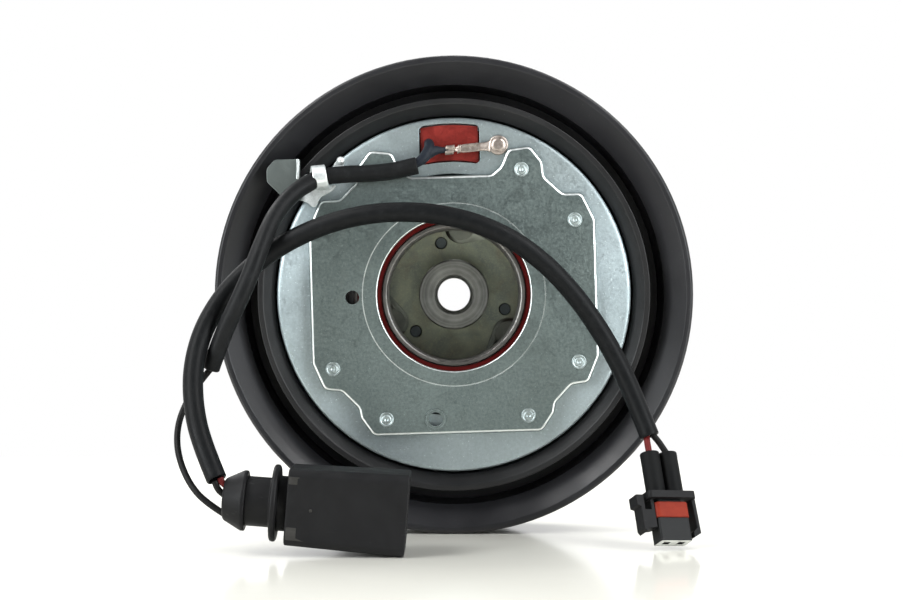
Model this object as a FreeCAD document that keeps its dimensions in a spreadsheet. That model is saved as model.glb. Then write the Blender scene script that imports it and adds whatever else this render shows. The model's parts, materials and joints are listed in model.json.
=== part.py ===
import FreeCAD, Part

import math
import os
import re

import Sketcher

# Magnetic clutch of a belt-driven compressor. Millimetres, +Z up.
# The clutch axis is Y. The rear face of the coil's mounting plate is at y = 0, and the
# friction faces and the hub are towards +Y. The origin is on the axis, in that rear face.

SIZES = {
    # coil assembly
    "plate_thickness": 2.3,
    "plate_bore": 20.0,
    "plate_step": 24.0,
    "plate_step_width": 0.35,
    "plate_step_depth": 0.1,
    "plate_side": 37.5,
    "plate_bottom": 36.3,
    "plate_corner": 2.2,
    "weld_circle": 37.0,
    "weld_spread": 15,
    "weld_shank": 1.6,
    "weld_head": 1.9,
    "locating_circle": 26.5,
    "locating_hole": 1.8,
    "collar_hole_x": -5.7,
    "collar_hole_z": -32.3,
    "collar_radius": 2.75,
    "coil_clocking": 1.7,
    "housing_radius": 46.3,
    "housing_wall": 2.8,
    "housing_core": 31.6,
    "core_wall": 3.0,
    "disc_thickness": 3.0,
    "housing_front": 25.5,
    "window_inner": 34.7,
    "window_outer": 44.8,
    "window_half_width": 7.9,
    "window_gap": 0.4,
    "resin_rear": 3.0,
    "bobbin_rear": 7.0,
    "bobbin_front": 23.0,
    "bobbin_inner": 35.2,
    "bobbin_outer": 42.6,
    "bobbin_wall": 1.0,
    "winding_outer": 42.0,
    # bearing
    "bearing_bore": 17.5,
    "bearing_outer": 27.5,
    "bearing_rear": 5.1,
    "bearing_width": 20.0,
    "bearing_chamfer": 0.3,
    "inner_land": 18.8,
    "inner_shoulder": 20.3,
    "outer_shoulder": 24.7,
    "seal_seat": 25.4,
    "seal_gap": 0.25,
    "seal_inset": 0.5,
    "seal_thickness": 1.1,
    "ball_radius": 2.7,
    "ball_gap": 0.15,
    "ball_circle": 22.5,
    "ball_row": 4.3,
    "ball_count": 18,
    "cage_half_width": 3.1,
    "cage_inner": 21.6,
    "cage_outer": 23.4,
    # rotor and pulley
    "rotor_radius": 51.3,
    "rotor_bore": 47.0,
    "rotor_rear": 1.5,
    "rotor_mouth": 49.9,
    "rotor_mouth_depth": 3.0,
    "rotor_face": 31.0,
    "face_thickness": 4.5,
    "rotor_core": 31.0,
    "rotor_core_rear": 2.9,
    "rotor_front_bore": 25.6,
    "snap_groove": 28.6,
    "snap_rear": 3.9,
    "snap_inner": 26.2,
    "slot_count": 6,
    "inner_slot": 36.0,
    "outer_slot": 45.2,
    "slot_half_width": 0.8,
    "rim_radius": 62.5,
    "rim_rear": 1.0,
    "rim_width": 27.0,
    "rim_lip": 60.8,
    "rim_bore": 55.2,
    "rim_flare_depth": 5.0,
    "rim_web_rear": 20.5,
    "rim_web_front": 24.0,
    "rib_radius": 61.0,
    "rib_root": 58.2,
    "rib_pitch": 3.56,
    "rib_mouth": 1.42,
    "rib_floor": 0.4,
    "flange_width": 2.3,
    # hub and armature
    "air_gap": 0.5,
    "armature_inner": 28.5,
    "armature_outer": 50.5,
    "armature_thickness": 4.0,
    "armature_slot": 40.5,
    "leaf_thickness": 0.8,
    "leaf_half_width": 4.5,
    "leaf_angle": 50,
    "hub_rivet_circle": 18.8,
    "hub_rivet_angle": 6,
    "armature_rivet_circle": 45.5,
    "rivet_shank": 2.0,
    "rivet_head": 3.6,
    "rivet_head_height": 1.1,
    "flange_thickness": 3.0,
    "flange_radius": 24.5,
    "arm_reach": 33.0,
    "arm_half_width": 7.0,
    "arm_angle": 96,
    "stop_radius": 4.0,
    "dimple_circle": 14.8,
    "dimple_radius": 1.6,
    "dimple_angle": -14,
    "dimple_depth": 1.4,
    "boss_radius": 9.6,
    "boss_rear": 26.0,
    "spigot_radius": 7.8,
    "spigot_height": 3.6,
    "shaft_bore": 4.5,
    "bore_mouth": 5.4,
    "bore_mouth_depth": 0.9,
    # ground terminal, wire clamp and wires
    "terminal_thickness": 0.8,
    "terminal_pad": 2.8,
    "barrel_outer": 1.35,
    "barrel_inner": 0.95,
    "clamp_thickness": 1.2,
    "finger_thickness": 0.9,
    "finger_left": -36.4,
    "finger_width": 3.2,
    "wire_diameter": 1.8,
    "core_diameter": 1.6,
    "lead_sleeve_diameter": 4.5,
    "lead_wire_diameter": 1.6,
    "harness_diameter": 5.0,
    # large plug, in its own frame: X along the plug from its wire end, Z up
    "cap_length": 5.6,
    "cap_lip": 1.0,
    "cap_rear_radius": 5.2,
    "cap_radius": 7.3,
    "neck_radius": 6.0,
    "fin_rear": 11.7,
    "fin_thickness": 1.6,
    "fin_radius": 9.3,
    "neck_front_radius": 6.65,
    "shell_rear": 15.7,
    "shell_length": 28.9,
    "shell_half_height": 9.2,
    "shell_half_depth": 8.5,
    "shell_corner": 2.2,
    "shell_taper": 1.2,
    "shell_wall": 1.5,
    "socket_depth": 22.0,
    "grommet_radius": 4.8,
    "blade_width": 2.8,
    "blade_thickness": 0.8,
    "blade_pitch": 3.1,
    "shank_radius": 1.4,
    # small plug, in its own frame: Z up, the wires enter at z = 0
    "boot_radius": 2.45,
    "boot_length": 11.0,
    "boot_pitch": 5.0,
    "collar_half_width": 6.6,
    "collar_half_depth": 3.7,
    "collar_thickness": 1.8,
    "core_half_width": 3.4,
    "core_half_depth": 1.6,
    "seal_drop": 0.7,
    "red_half_width": 4.6,
    "red_half_depth": 2.7,
    "red_length": 4.0,
    "nose_half_width": 4.3,
    "nose_half_depth": 2.3,
    "nose_length": 5.9,
    "pin_hole": 1.6,
    "pin_pitch": 4.0,
    "pin_depth": 4.5,
    "latch_half_depth": 2.0,
    "latch_bar": 8.3,
    "latch_knob": 9.3,
    "latch_inner": 5.5,
}

# The plate's outline on the +X side, from its top edge beside the window to its bottom edge.
PLATE_EDGE = [
    ("10.6", "31.0"),
    ("13.0", "33.0"),
    ("15.0", "37.5"),
    ("21.0", "38.2"),
    ("24.2", "34.0"),
    ("24.6", "30.0"),
    ("29.2", "25.6"),
    ("34.2", "25.6"),
    ("plate_side", "18.5"),
    ("plate_side", "-17.0"),
    ("34.5", "-24.0"),
    ("30.0", "-24.5"),
    ("25.7", "-29.0"),
    ("25.3", "-31.5"),
    ("22.0", "-plate_bottom"),
]

# The clamp's flat: a rounded tab at the left, a foot on the plate and a small tip at the right.
CLAMP_EDGE = [
    ("-40.4", "35.2"),
    ("-46.6", "35.0"),
    ("-48.7", "32.6"),
    ("-48.6", "29.2"),
    ("-44.8", "25.6"),
    ("-39.6", "24.6"),
    ("-36.5", "22.7"),
    ("-35.2", "24.3"),
    ("-32.1", "26.4"),
    ("-29.7", "28.2"),
    ("-28.8", "33.6"),
    ("-29.4", "35.0"),
    ("-30.7", "35.0"),
    ("-31.3", "33.6"),
    ("-31.5", "31.6"),
    ("-38.6", "31.2"),
    ("-40.2", "29.6"),
]

# Routes of the free cords, from the exit to the far end.
LEAD_SLEEVE_ROUTE = [
    (-9.6, -2.6, 33.4),
    (-15.7, -2.6, 31.9),
    (-21.8, -2.7, 31.3),
    (-27.9, -3.0, 31.1),
    (-33.8, -3.7, 30.5),
    (-39.0, -5.8, 27.9),
    (-42.9, -9.0, 24.1),
    (-45.7, -12.5, 19.6),
    (-47.6, -15.8, 14.6),
    (-49.4, -18.4, 9.3),
    (-51.4, -19.9, 3.7),
    (-53.8, -20.5, -1.8),
    (-56.5, -20.0, -7.3),
    (-58.9, -19.0, -12.9),
    (-61.0, -17.9, -18.6),
]
LEAD_WIRE_ROUTE = [
    (-61.0, -17.9, -18.6),
    (-64.5, -17.6, -22.8),
    (-67.2, -19.9, -27.5),
    (-68.4, -23.8, -32.2),
    (-68.2, -27.4, -36.9),
    (-66.7, -30.9, -41.4),
    (-64.1, -33.8, -46.0),
    (-60.4, -35.6, -50.0),
    (-55.5, -36.0, -53.0),
]
HARNESS_ROUTE = [
    (-57.3, -36.1, -44.6),
    (-61.3, -32.8, -36.4),
    (-64.0, -28.2, -27.7),
    (-64.9, -23.1, -18.7),
    (-63.4, -18.1, -9.8),
    (-59.2, -13.8, -1.2),
    (-52.5, -11.5, 6.4),
    (-44.2, -11.5, 12.5),
    (-34.9, -12.8, 17.0),
    (-25.0, -14.2, 19.9),
    (-14.7, -15.3, 21.0),
    (-4.4, -16.2, 20.4),
    (5.6, -16.6, 18.1),
    (15.1, -16.5, 13.8),
    (23.4, -15.8, 7.6),
    (30.5, -14.6, 0.1),
    (36.6, -13.9, -8.4),
    (41.7, -14.1, -17.4),
    (45.8, -15.4, -26.6),
    (49.1, -17.8, -35.6),
]

# Short wire ends. The coil's own two leads come out of the resin in the window.
COIL_LEAD_ROUTE = [(-9.6, -2.6, 33.4), (-6.9, -2.2, 34.4), (-5.1, -0.3, 36.2), (-4.8, 3.2, 37.0)]
GROUND_WIRE_ROUTE = [(-5.4, 3.2, 39.6), (-5.3, 1.3, 39.4), (-3.6, 0.9, 38.3), (-1.0, 1.1, 38.0)]
PLUG_RED_ROUTE = [(-56.4, -36.3, -44.3), (-56.0, -36.5, -45.3), (-55.2, -36.3, -46.0)]
PLUG_BLACK_ROUTE = [(-57.7, -36.5, -45.1), (-56.9, -36.7, -47.1), (-55.4, -36.3, -48.4)]
SENSOR_RED_ROUTE = [(48.3, -18.1, -35.5), (48.4, -19.4, -37.3), (48.7, -21.0, -39.6)]
SENSOR_BLACK_ROUTE = [(49.9, -17.7, -35.2), (51.5, -17.9, -37.1), (53.3, -19.0, -39.9)]

LARGE_PLUG_PLACE = FreeCAD.Placement(
    FreeCAD.Vector(-55.6, -36.0, -49.35), FreeCAD.Rotation(FreeCAD.Vector(0, 1, 0), 4.4)
)
SMALL_PLUG_TURN = (
    FreeCAD.Rotation(FreeCAD.Vector(0, 1, 0), -7.3)
    * FreeCAD.Rotation(FreeCAD.Vector(1, 0, 0), -24)
    * FreeCAD.Rotation(FreeCAD.Vector(0, 0, 1), 25)
)
SMALL_PLUG_PLACE = FreeCAD.Placement(FreeCAD.Vector(51.0, -20.0, -39.7), SMALL_PLUG_TURN)
TERMINAL_PLACE = FreeCAD.Placement(
    FreeCAD.Vector(11.8, 0, 39.3), FreeCAD.Rotation(FreeCAD.Vector(0, 1, 0), -5.8)
)

doc = FreeCAD.newDocument("clutch")
sheet = doc.addObject("Spreadsheet::Sheet", "sizes")
for row, (alias, size) in enumerate(SIZES.items(), 1):
    sheet.set(f"A{row}", alias)
    sheet.set(f"B{row}", str(size))
    sheet.setAlias(f"B{row}", alias)
doc.recompute()

nodes = []


def number(text):
    """The present value of an expression in the sheet's names."""
    return float(sheet.evalExpression(text))


def bound(text):
    """The same expression as another object has to write it."""
    return re.sub(r"\b[a-z][a-z_]+\b", lambda word: "sizes." + word[0] if word[0] in SIZES else word[0], text)


def new_body(label, whole_node=True):
    """A body, which is a node by itself unless it only helps to shape one."""
    body = doc.addObject("PartDesign::Body", label)
    body.Label = label
    body.AllowCompound = True
    if whole_node:
        nodes.append(body)
    return body


def origin_part(body, role):
    return next(feature for feature in body.Origin.OriginFeatures if feature.Role == role)


def new_sketch(body, role="XZ_Plane", offset="0"):
    """A sketch on one of the body's own planes. XZ_Plane faces -Y, so offset moves it towards -Y."""
    sketch = body.newObject("Sketcher::SketchObject", body.Label + "_sketch")
    sketch.AttachmentSupport = [(origin_part(body, role), "")]
    sketch.MapMode = "FlatFace"
    sketch.setExpression("AttachmentOffset.Base.z", bound(offset))
    return sketch


def pin_point(sketch, geometry, point, place):
    """Ties one point of a sketch to the sheet."""
    for kind, text in zip(("DistanceX", "DistanceY"), place):
        index = sketch.addConstraint(Sketcher.Constraint(kind, -1, 1, geometry, point, number(text)))
        sketch.setExpression(f"Constraints[{index}]", bound(text))


def draw_outline(sketch, corners):
    """A closed outline of straight edges."""
    places = [FreeCAD.Vector(number(across), number(up), 0) for across, up in corners]
    edges = [Part.LineSegment(a, b) for a, b in zip(places, places[1:] + places[:1])]
    lines = sketch.addGeometry(edges, False)
    for line, following in zip(lines, lines[1:] + lines[:1]):
        sketch.addConstraint(Sketcher.Constraint("Coincident", line, 2, following, 1))
    for line, corner in zip(lines, corners):
        pin_point(sketch, line, 1, corner)


def draw_circle(sketch, radius, place=("0", "0")):
    centre = FreeCAD.Vector(number(place[0]), number(place[1]), 0)
    circle = Part.Circle(centre, FreeCAD.Vector(0, 0, 1), number(radius))
    index = sketch.addGeometry(circle, False)
    pin_point(sketch, index, 3, place)
    datum = sketch.addConstraint(Sketcher.Constraint("Radius", index, number(radius)))
    sketch.setExpression(f"Constraints[{datum}]", bound(radius))


def draw_rounded_box(sketch, half_width, half_height, corner):
    """A rectangle about the origin with round corners."""
    wide, high, radius = number(half_width), number(half_height), number(corner)
    normal = FreeCAD.Vector(0, 0, 1)
    pieces = []
    for turn, (side_x, side_y) in enumerate([(1, 1), (-1, 1), (-1, -1), (1, -1)]):
        centre = FreeCAD.Vector(side_x * (wide - radius), side_y * (high - radius), 0)
        start = turn * math.pi / 2
        pieces.append(Part.ArcOfCircle(Part.Circle(centre, normal, radius), start, start + math.pi / 2))
    for turn in range(4):
        pieces.append(Part.LineSegment(pieces[turn].EndPoint, pieces[(turn + 1) % 4].StartPoint))
    parts = sketch.addGeometry(pieces, False)
    for turn in range(4):
        arc, line, following = parts[turn], parts[4 + turn], parts[(turn + 1) % 4]
        sketch.addConstraint(Sketcher.Constraint("Tangent", arc, 2, line, 1))
        sketch.addConstraint(Sketcher.Constraint("Tangent", line, 2, following, 1))
    for arc in parts[1:4]:
        sketch.addConstraint(Sketcher.Constraint("Equal", parts[0], arc))
    for across, upright in ((parts[4], parts[5]), (parts[6], parts[7])):
        sketch.addConstraint(Sketcher.Constraint("Horizontal", across))
        sketch.addConstraint(Sketcher.Constraint("Vertical", upright))
    sketch.addConstraint(Sketcher.Constraint("Symmetric", parts[0], 3, parts[2], 3, -1, 1))
    datum = sketch.addConstraint(Sketcher.Constraint("Radius", parts[0], radius))
    sketch.setExpression(f"Constraints[{datum}]", bound(corner))
    pin_point(sketch, parts[0], 3, (f"{half_width} - ({corner})", f"{half_height} - ({corner})"))


def draw_slot(sketch, start, end, half_width):
    """A straight slot with round ends about two centres."""
    a = FreeCAD.Vector(number(start[0]), number(start[1]), 0)
    b = FreeCAD.Vector(number(end[0]), number(end[1]), 0)
    radius = number(half_width)
    normal = FreeCAD.Vector(0, 0, 1)
    lean = math.atan2(b.y - a.y, b.x - a.x)
    right = lean + math.pi / 2
    near = Part.ArcOfCircle(Part.Circle(a, normal, radius), right, right + math.pi)
    far = Part.ArcOfCircle(Part.Circle(b, normal, radius), right - math.pi, right)
    sides = [Part.LineSegment(near.EndPoint, far.StartPoint), Part.LineSegment(far.EndPoint, near.StartPoint)]
    first, second, low, high = sketch.addGeometry([near, far] + sides, False)
    sketch.addConstraint(Sketcher.Constraint("Tangent", first, 2, low, 1))
    sketch.addConstraint(Sketcher.Constraint("Tangent", low, 2, second, 1))
    sketch.addConstraint(Sketcher.Constraint("Tangent", second, 2, high, 1))
    sketch.addConstraint(Sketcher.Constraint("Tangent", high, 2, first, 1))
    datum = sketch.addConstraint(Sketcher.Constraint("Radius", first, radius))
    sketch.setExpression(f"Constraints[{datum}]", bound(half_width))
    pin_point(sketch, first, 3, start)
    pin_point(sketch, second, 3, end)


def draw_sector(sketch, inner, outer, start, end):
    """A piece of a ring about the origin, between two angles in degrees."""
    centre, normal = FreeCAD.Vector(), FreeCAD.Vector(0, 0, 1)
    low, high = math.radians(number(start)), math.radians(number(end))
    arcs = [
        Part.ArcOfCircle(Part.Circle(centre, normal, number(radius)), low, high) for radius in (inner, outer)
    ]
    ends = [
        Part.LineSegment(arcs[0].StartPoint, arcs[1].StartPoint),
        Part.LineSegment(arcs[0].EndPoint, arcs[1].EndPoint),
    ]
    near, far, first, last = sketch.addGeometry(arcs + ends, False)
    for arc, radius in ((near, inner), (far, outer)):
        sketch.addConstraint(Sketcher.Constraint("Coincident", arc, 3, -1, 1))
        datum = sketch.addConstraint(Sketcher.Constraint("Radius", arc, number(radius)))
        sketch.setExpression(f"Constraints[{datum}]", bound(radius))
    for line, corner, angle in ((first, 1, start), (last, 2, end)):
        sketch.addConstraint(Sketcher.Constraint("Coincident", line, 1, near, corner))
        sketch.addConstraint(Sketcher.Constraint("Coincident", line, 2, far, corner))
        sketch.addConstraint(Sketcher.Constraint("PointOnObject", -1, 1, line))
        value = math.radians(number(angle))
        datum = sketch.addConstraint(Sketcher.Constraint("Angle", -1, 1, line, 1, value))
        sketch.setExpression(f"Constraints[{datum}]", bound(f"({angle}) * 1 deg"))


def draw_window(sketch, inner, outer, half_width):
    """Two upright sides between two arcs about the origin, over the top of the clutch."""
    centre, normal = FreeCAD.Vector(), FreeCAD.Vector(0, 0, 1)
    arcs = []
    for radius in (inner, outer):
        reach = math.asin(number(half_width) / number(radius))
        circle = Part.Circle(centre, normal, number(radius))
        arcs.append(Part.ArcOfCircle(circle, math.pi / 2 - reach, math.pi / 2 + reach))
    sides = [
        Part.LineSegment(arcs[0].StartPoint, arcs[1].StartPoint),
        Part.LineSegment(arcs[0].EndPoint, arcs[1].EndPoint),
    ]
    near, far, first, last = sketch.addGeometry(arcs + sides, False)
    for arc, radius in ((near, inner), (far, outer)):
        sketch.addConstraint(Sketcher.Constraint("Coincident", arc, 3, -1, 1))
        datum = sketch.addConstraint(Sketcher.Constraint("Radius", arc, number(radius)))
        sketch.setExpression(f"Constraints[{datum}]", bound(radius))
    for line, corner, ends in ((first, 1, (-1, 1, first, 1)), (last, 2, (last, 1, -1, 1))):
        sketch.addConstraint(Sketcher.Constraint("Coincident", line, 1, near, corner))
        sketch.addConstraint(Sketcher.Constraint("Coincident", line, 2, far, corner))
        sketch.addConstraint(Sketcher.Constraint("Vertical", line))
        datum = sketch.addConstraint(Sketcher.Constraint("DistanceX", *ends, number(half_width)))
        sketch.setExpression(f"Constraints[{datum}]", bound(half_width))


def add_feature(body, kind, name, **settings):
    feature = body.newObject(kind, body.Label + "_" + name)
    for key, setting in settings.items():
        setattr(feature, key, setting)
    return feature


def revolve(body, corners, kind="PartDesign::Revolution"):
    """A solid of revolution about Y from an outline of (radius, y) corners."""
    sketch = new_sketch(body, "XY_Plane")
    draw_outline(sketch, corners)
    return add_feature(body, kind, "turned", Profile=sketch, ReferenceAxis=(sketch, ["V_Axis"]), Angle=360)


def pad(body, sketch, length, reverse=True, taper=0):
    feature = add_feature(body, "PartDesign::Pad", "pad", Profile=sketch, Reversed=reverse, TaperAngle=taper)
    feature.setExpression("Length", bound(length))
    return feature


def pocket(body, sketch, length, reverse=False):
    """A cut from the sketch against its normal, or along it when reversed."""
    doc.recompute()
    before = body.Shape.Volume
    feature = add_feature(body, "PartDesign::Pocket", "cut", Profile=sketch, Reversed=reverse)
    feature.setExpression("Length", bound(length))
    doc.recompute()
    if body.Shape.Volume > before - 1e-3:
        raise RuntimeError(f"{feature.Label} cuts nothing")
    return feature


def repeat(body, feature, count, role="Y_Axis"):
    """Copies a feature evenly around one of the body's own axes."""
    axis = (origin_part(body, role), [""])
    pattern = add_feature(body, "PartDesign::PolarPattern", "round", Originals=[feature], Axis=axis, Angle=360)
    pattern.setExpression("Occurrences", bound(count))
    body.Tip = pattern
    return pattern


def round_corners(body, radius, along, chosen=None):
    """Rounds the straight edges that run along a direction."""
    doc.recompute()
    base = body.Tip
    names = []
    for index, edge in enumerate(base.Shape.Edges, 1):
        if not isinstance(edge.Curve, Part.Line):
            continue
        straight = abs(abs(edge.tangentAt(edge.FirstParameter).dot(along)) - 1) < 1e-6
        if straight and (chosen is None or chosen(edge.CenterOfMass)):
            names.append(f"Edge{index}")
    feature = add_feature(body, "PartDesign::Fillet", "rounds", Base=(base, names))
    feature.setExpression("Radius", bound(radius))
    return feature


def clock_face(radius, angle):
    """A point at a clockwise angle from the top, seen from the rear."""
    return f"{radius} * sin({angle})", f"{radius} * cos({angle})"


def group(label, members):
    """Separate solids in one node."""
    node = doc.addObject("Part::MultiFuse", label)
    node.Label = label
    node.Shapes = members
    nodes.append(node)
    return node


def turn_coil(body):
    """Turns a piece of the coil about the clutch axis to where its window sits."""
    body.Placement = FreeCAD.Placement(FreeCAD.Vector(), FreeCAD.Rotation(FreeCAD.Vector(0, -1, 0), 1))
    body.setExpression("Placement.Rotation.Angle", bound("coil_clocking"))


# ---------------------------------------------------------------- coil assembly


def make_coil_plate():
    body = new_body("coil_plate")
    sketch = new_sketch(body)
    mirrored = [(f"-({across})", up) for across, up in reversed(PLATE_EDGE)]
    draw_outline(sketch, PLATE_EDGE + mirrored)
    pad(body, sketch, "plate_thickness")
    round_corners(body, "plate_corner", FreeCAD.Vector(0, 1, 0))
    raised = new_sketch(body)
    draw_circle(raised, "collar_radius", ("collar_hole_x", "collar_hole_z"))
    pad(body, raised, "0.35", reverse=False)
    step = new_sketch(body)
    draw_circle(step, "plate_step")
    draw_circle(step, "plate_step - plate_step_width")
    pocket(body, step, "plate_step_depth")
    holes = new_sketch(body, offset="1")
    draw_circle(holes, "plate_bore")
    draw_circle(holes, "locating_hole", ("-locating_circle", "0"))
    draw_circle(holes, "locating_hole", ("collar_hole_x", "collar_hole_z"))
    for quarter in range(4):
        for side in (-1, 1):
            angle = f"({45 + 90 * quarter} + {side} * weld_spread)"
            draw_circle(holes, "weld_shank", clock_face("weld_circle", angle))
    pocket(body, holes, "plate_thickness + 2")
    turn_coil(body)


def make_plate_welds():
    """Eight buttons of the housing's own metal, closed over the plate."""
    body = new_body("plate_welds")
    for radius, length, rear in (
        ("weld_head", "0.3", "0.3"),
        ("weld_shank", "plate_thickness + 1.2", "0"),
    ):
        sketch = new_sketch(body, offset=rear)
        for quarter in range(4):
            for side in (-1, 1):
                angle = f"({45 + 90 * quarter} + {side} * weld_spread)"
                draw_circle(sketch, radius, clock_face("weld_circle", angle))
        pad(body, sketch, length)
    turn_coil(body)


def make_coil_housing():
    body = new_body("coil_housing")
    rear = "plate_thickness"
    floor = "(plate_thickness + disc_thickness)"
    revolve(
        body,
        [
            ("housing_core", rear),
            ("housing_radius - 1.2", rear),
            ("housing_radius - 0.35", "plate_thickness + 0.35"),
            ("housing_radius", "plate_thickness + 1.2"),
            ("housing_radius", floor),
            ("housing_core", floor),
        ],
    )
    window = new_sketch(body)
    draw_window(window, "window_inner", "window_outer", "window_half_width")
    pocket(body, window, floor)
    round_corners(body, "1.4", FreeCAD.Vector(0, 1, 0))
    for inner, outer in (
        ("housing_core", "housing_core + core_wall"),
        ("housing_radius - housing_wall", "housing_radius"),
    ):
        revolve(body, [(inner, floor), (outer, floor), (outer, "housing_front"), (inner, "housing_front")])
    sockets = new_sketch(body)
    for quarter in range(4):
        for side in (-1, 1):
            angle = f"({45 + 90 * quarter} + {side} * weld_spread)"
            draw_circle(sockets, "weld_shank", clock_face("weld_circle", angle))
    pocket(body, sockets, "plate_thickness + 1.2")
    turn_coil(body)


def make_bobbin():
    body = new_body("coil_bobbin")
    tube = "bobbin_inner + bobbin_wall"
    revolve(
        body,
        [
            ("bobbin_inner", "bobbin_rear"),
            ("bobbin_outer", "bobbin_rear"),
            ("bobbin_outer", "bobbin_rear + bobbin_wall"),
            (tube, "bobbin_rear + bobbin_wall"),
            (tube, "bobbin_front - bobbin_wall"),
            ("bobbin_outer", "bobbin_front - bobbin_wall"),
            ("bobbin_outer", "bobbin_front"),
            ("bobbin_inner", "bobbin_front"),
        ],
    )


def make_winding():
    body = new_body("coil_winding")
    inner = "bobbin_inner + bobbin_wall"
    rear, front = "bobbin_rear + bobbin_wall", "bobbin_front - bobbin_wall"
    revolve(body, [(inner, rear), ("winding_outer", rear), ("winding_outer", front), (inner, front)])


def make_resin():
    """The cast resin round the winding, which also fills the window."""
    body = new_body("coil_resin")
    inner, outer = "housing_core + core_wall", "housing_radius - housing_wall"
    floor, front = "plate_thickness + disc_thickness", "housing_front - 0.8"
    rear_wall, front_wall = "bobbin_rear + bobbin_wall", "bobbin_front - bobbin_wall"
    revolve(body, [(inner, floor), (outer, floor), (outer, front), (inner, front)])
    coil_space = [
        ("bobbin_inner", "bobbin_rear"),
        ("bobbin_outer", "bobbin_rear"),
        ("bobbin_outer", rear_wall),
        ("winding_outer", rear_wall),
        ("winding_outer", front_wall),
        ("bobbin_outer", front_wall),
        ("bobbin_outer", "bobbin_front"),
        ("bobbin_inner", "bobbin_front"),
    ]
    revolve(body, coil_space, "PartDesign::Groove")
    window = new_sketch(body, offset="-resin_rear")
    inner, outer = "window_inner + window_gap", "window_outer - window_gap"
    draw_window(window, inner, outer, "window_half_width - window_gap")
    pad(body, window, "plate_thickness + disc_thickness - resin_rear")
    turn_coil(body)


def make_ground_terminal():
    body = new_body("ground_terminal")
    rear = "terminal_thickness - plate_thickness"
    strip = new_sketch(body, offset=rear)
    draw_circle(strip, "terminal_pad")
    pad(body, strip, "terminal_thickness")
    neck = new_sketch(body, offset=rear)
    draw_outline(
        neck,
        [("-1.4", "2.0"), ("-4.4", "0.85"), ("-11.0", "0.85"), ("-11.0", "-0.85"), ("-4.4", "-0.85"), ("-1.4", "-2.0")],
    )
    pad(body, neck, "terminal_thickness")
    dimple = new_sketch(body, offset=rear)
    draw_circle(dimple, "terminal_pad - 0.7")
    pocket(body, dimple, "0.35")
    barrel = new_sketch(body, "YZ_Plane", "-14.4")
    draw_circle(barrel, "barrel_outer", ("1.1", "0"))
    draw_circle(barrel, "barrel_inner", ("1.1", "0"))
    pad(body, barrel, "3.8", reverse=False)
    body.Placement = TERMINAL_PLACE


def make_wire_clamp():
    body = new_body("wire_clamp")
    flat = new_sketch(body)
    draw_outline(flat, CLAMP_EDGE)
    pad(body, flat, "clamp_thickness", reverse=False)
    finger = new_sketch(body, "YZ_Plane", "finger_left")
    inner = "lead_sleeve_diameter / 2 + 0.05"
    outer = f"{inner} + finger_thickness"
    centre = ("-3.6", "30.4")
    draw_circle(finger, outer, centre)
    draw_circle(finger, inner, centre)
    pad(body, finger, "finger_width", reverse=False)
    gap = new_sketch(body, "YZ_Plane", "finger_left")
    draw_outline(gap, [("-3.4", "26"), ("-clamp_thickness", "26"), ("-clamp_thickness", "30.4"), ("-3.4", "30.4")])
    pocket(body, gap, "finger_width", reverse=True)


# ---------------------------------------------------------------- bearing


def bearing_y(text):
    """A y position counted from the bearing's rear face."""
    return f"bearing_rear + {text}"


def cut_races(body):
    """Two round grooves for the balls."""
    for side in (-1, 1):
        sketch = new_sketch(body, "XY_Plane")
        middle = bearing_y(f"bearing_width / 2 + {side} * ball_row")
        draw_circle(sketch, "ball_radius + ball_gap", ("ball_circle", middle))
        axis = (sketch, ["V_Axis"])
        add_feature(body, "PartDesign::Groove", "race", Profile=sketch, ReferenceAxis=axis, Angle=360)


def make_inner_ring():
    body = new_body("bearing_inner_ring")
    step = "(seal_inset + seal_thickness + 0.4)"
    revolve(
        body,
        [
            ("bearing_bore + bearing_chamfer", bearing_y("0")),
            ("inner_land", bearing_y("0")),
            ("inner_land", bearing_y(step)),
            ("inner_shoulder", bearing_y(step)),
            ("inner_shoulder", bearing_y(f"bearing_width - {step}")),
            ("inner_land", bearing_y(f"bearing_width - {step}")),
            ("inner_land", bearing_y("bearing_width")),
            ("bearing_bore + bearing_chamfer", bearing_y("bearing_width")),
            ("bearing_bore", bearing_y("bearing_width - bearing_chamfer")),
            ("bearing_bore", bearing_y("bearing_chamfer")),
        ],
    )
    cut_races(body)


def make_outer_ring():
    body = new_body("bearing_outer_ring")
    step = "(seal_inset + seal_thickness)"
    revolve(
        body,
        [
            ("seal_seat", bearing_y("0")),
            ("bearing_outer", bearing_y("0")),
            ("bearing_outer", bearing_y("bearing_width")),
            ("seal_seat", bearing_y("bearing_width")),
            ("seal_seat", bearing_y(f"bearing_width - {step}")),
            ("outer_shoulder", bearing_y(f"bearing_width - {step}")),
            ("outer_shoulder", bearing_y(step)),
            ("seal_seat", bearing_y(step)),
        ],
    )
    cut_races(body)


def make_seal(label, rear):
    body = new_body(label)
    front = f"{rear} + seal_thickness"
    inner = "inner_land + seal_gap"
    revolve(body, [(inner, rear), ("seal_seat", rear), ("seal_seat", front), (inner, front)])


def make_balls():
    members = []
    for side in (-1, 1):
        middle = bearing_y(f"bearing_width / 2 + {side} * ball_row")
        for index in range(int(number("ball_count"))):
            ball = doc.addObject("Part::Sphere", "ball")
            ball.setExpression("Radius", bound("ball_radius"))
            across, up = clock_face("ball_circle", f"({index} * 360 / ball_count)")
            for axis, text in zip("xyz", (across, middle, up)):
                ball.setExpression(f"Placement.Base.{axis}", bound(text))
            members.append(ball)
    group("bearing_balls", members)


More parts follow.
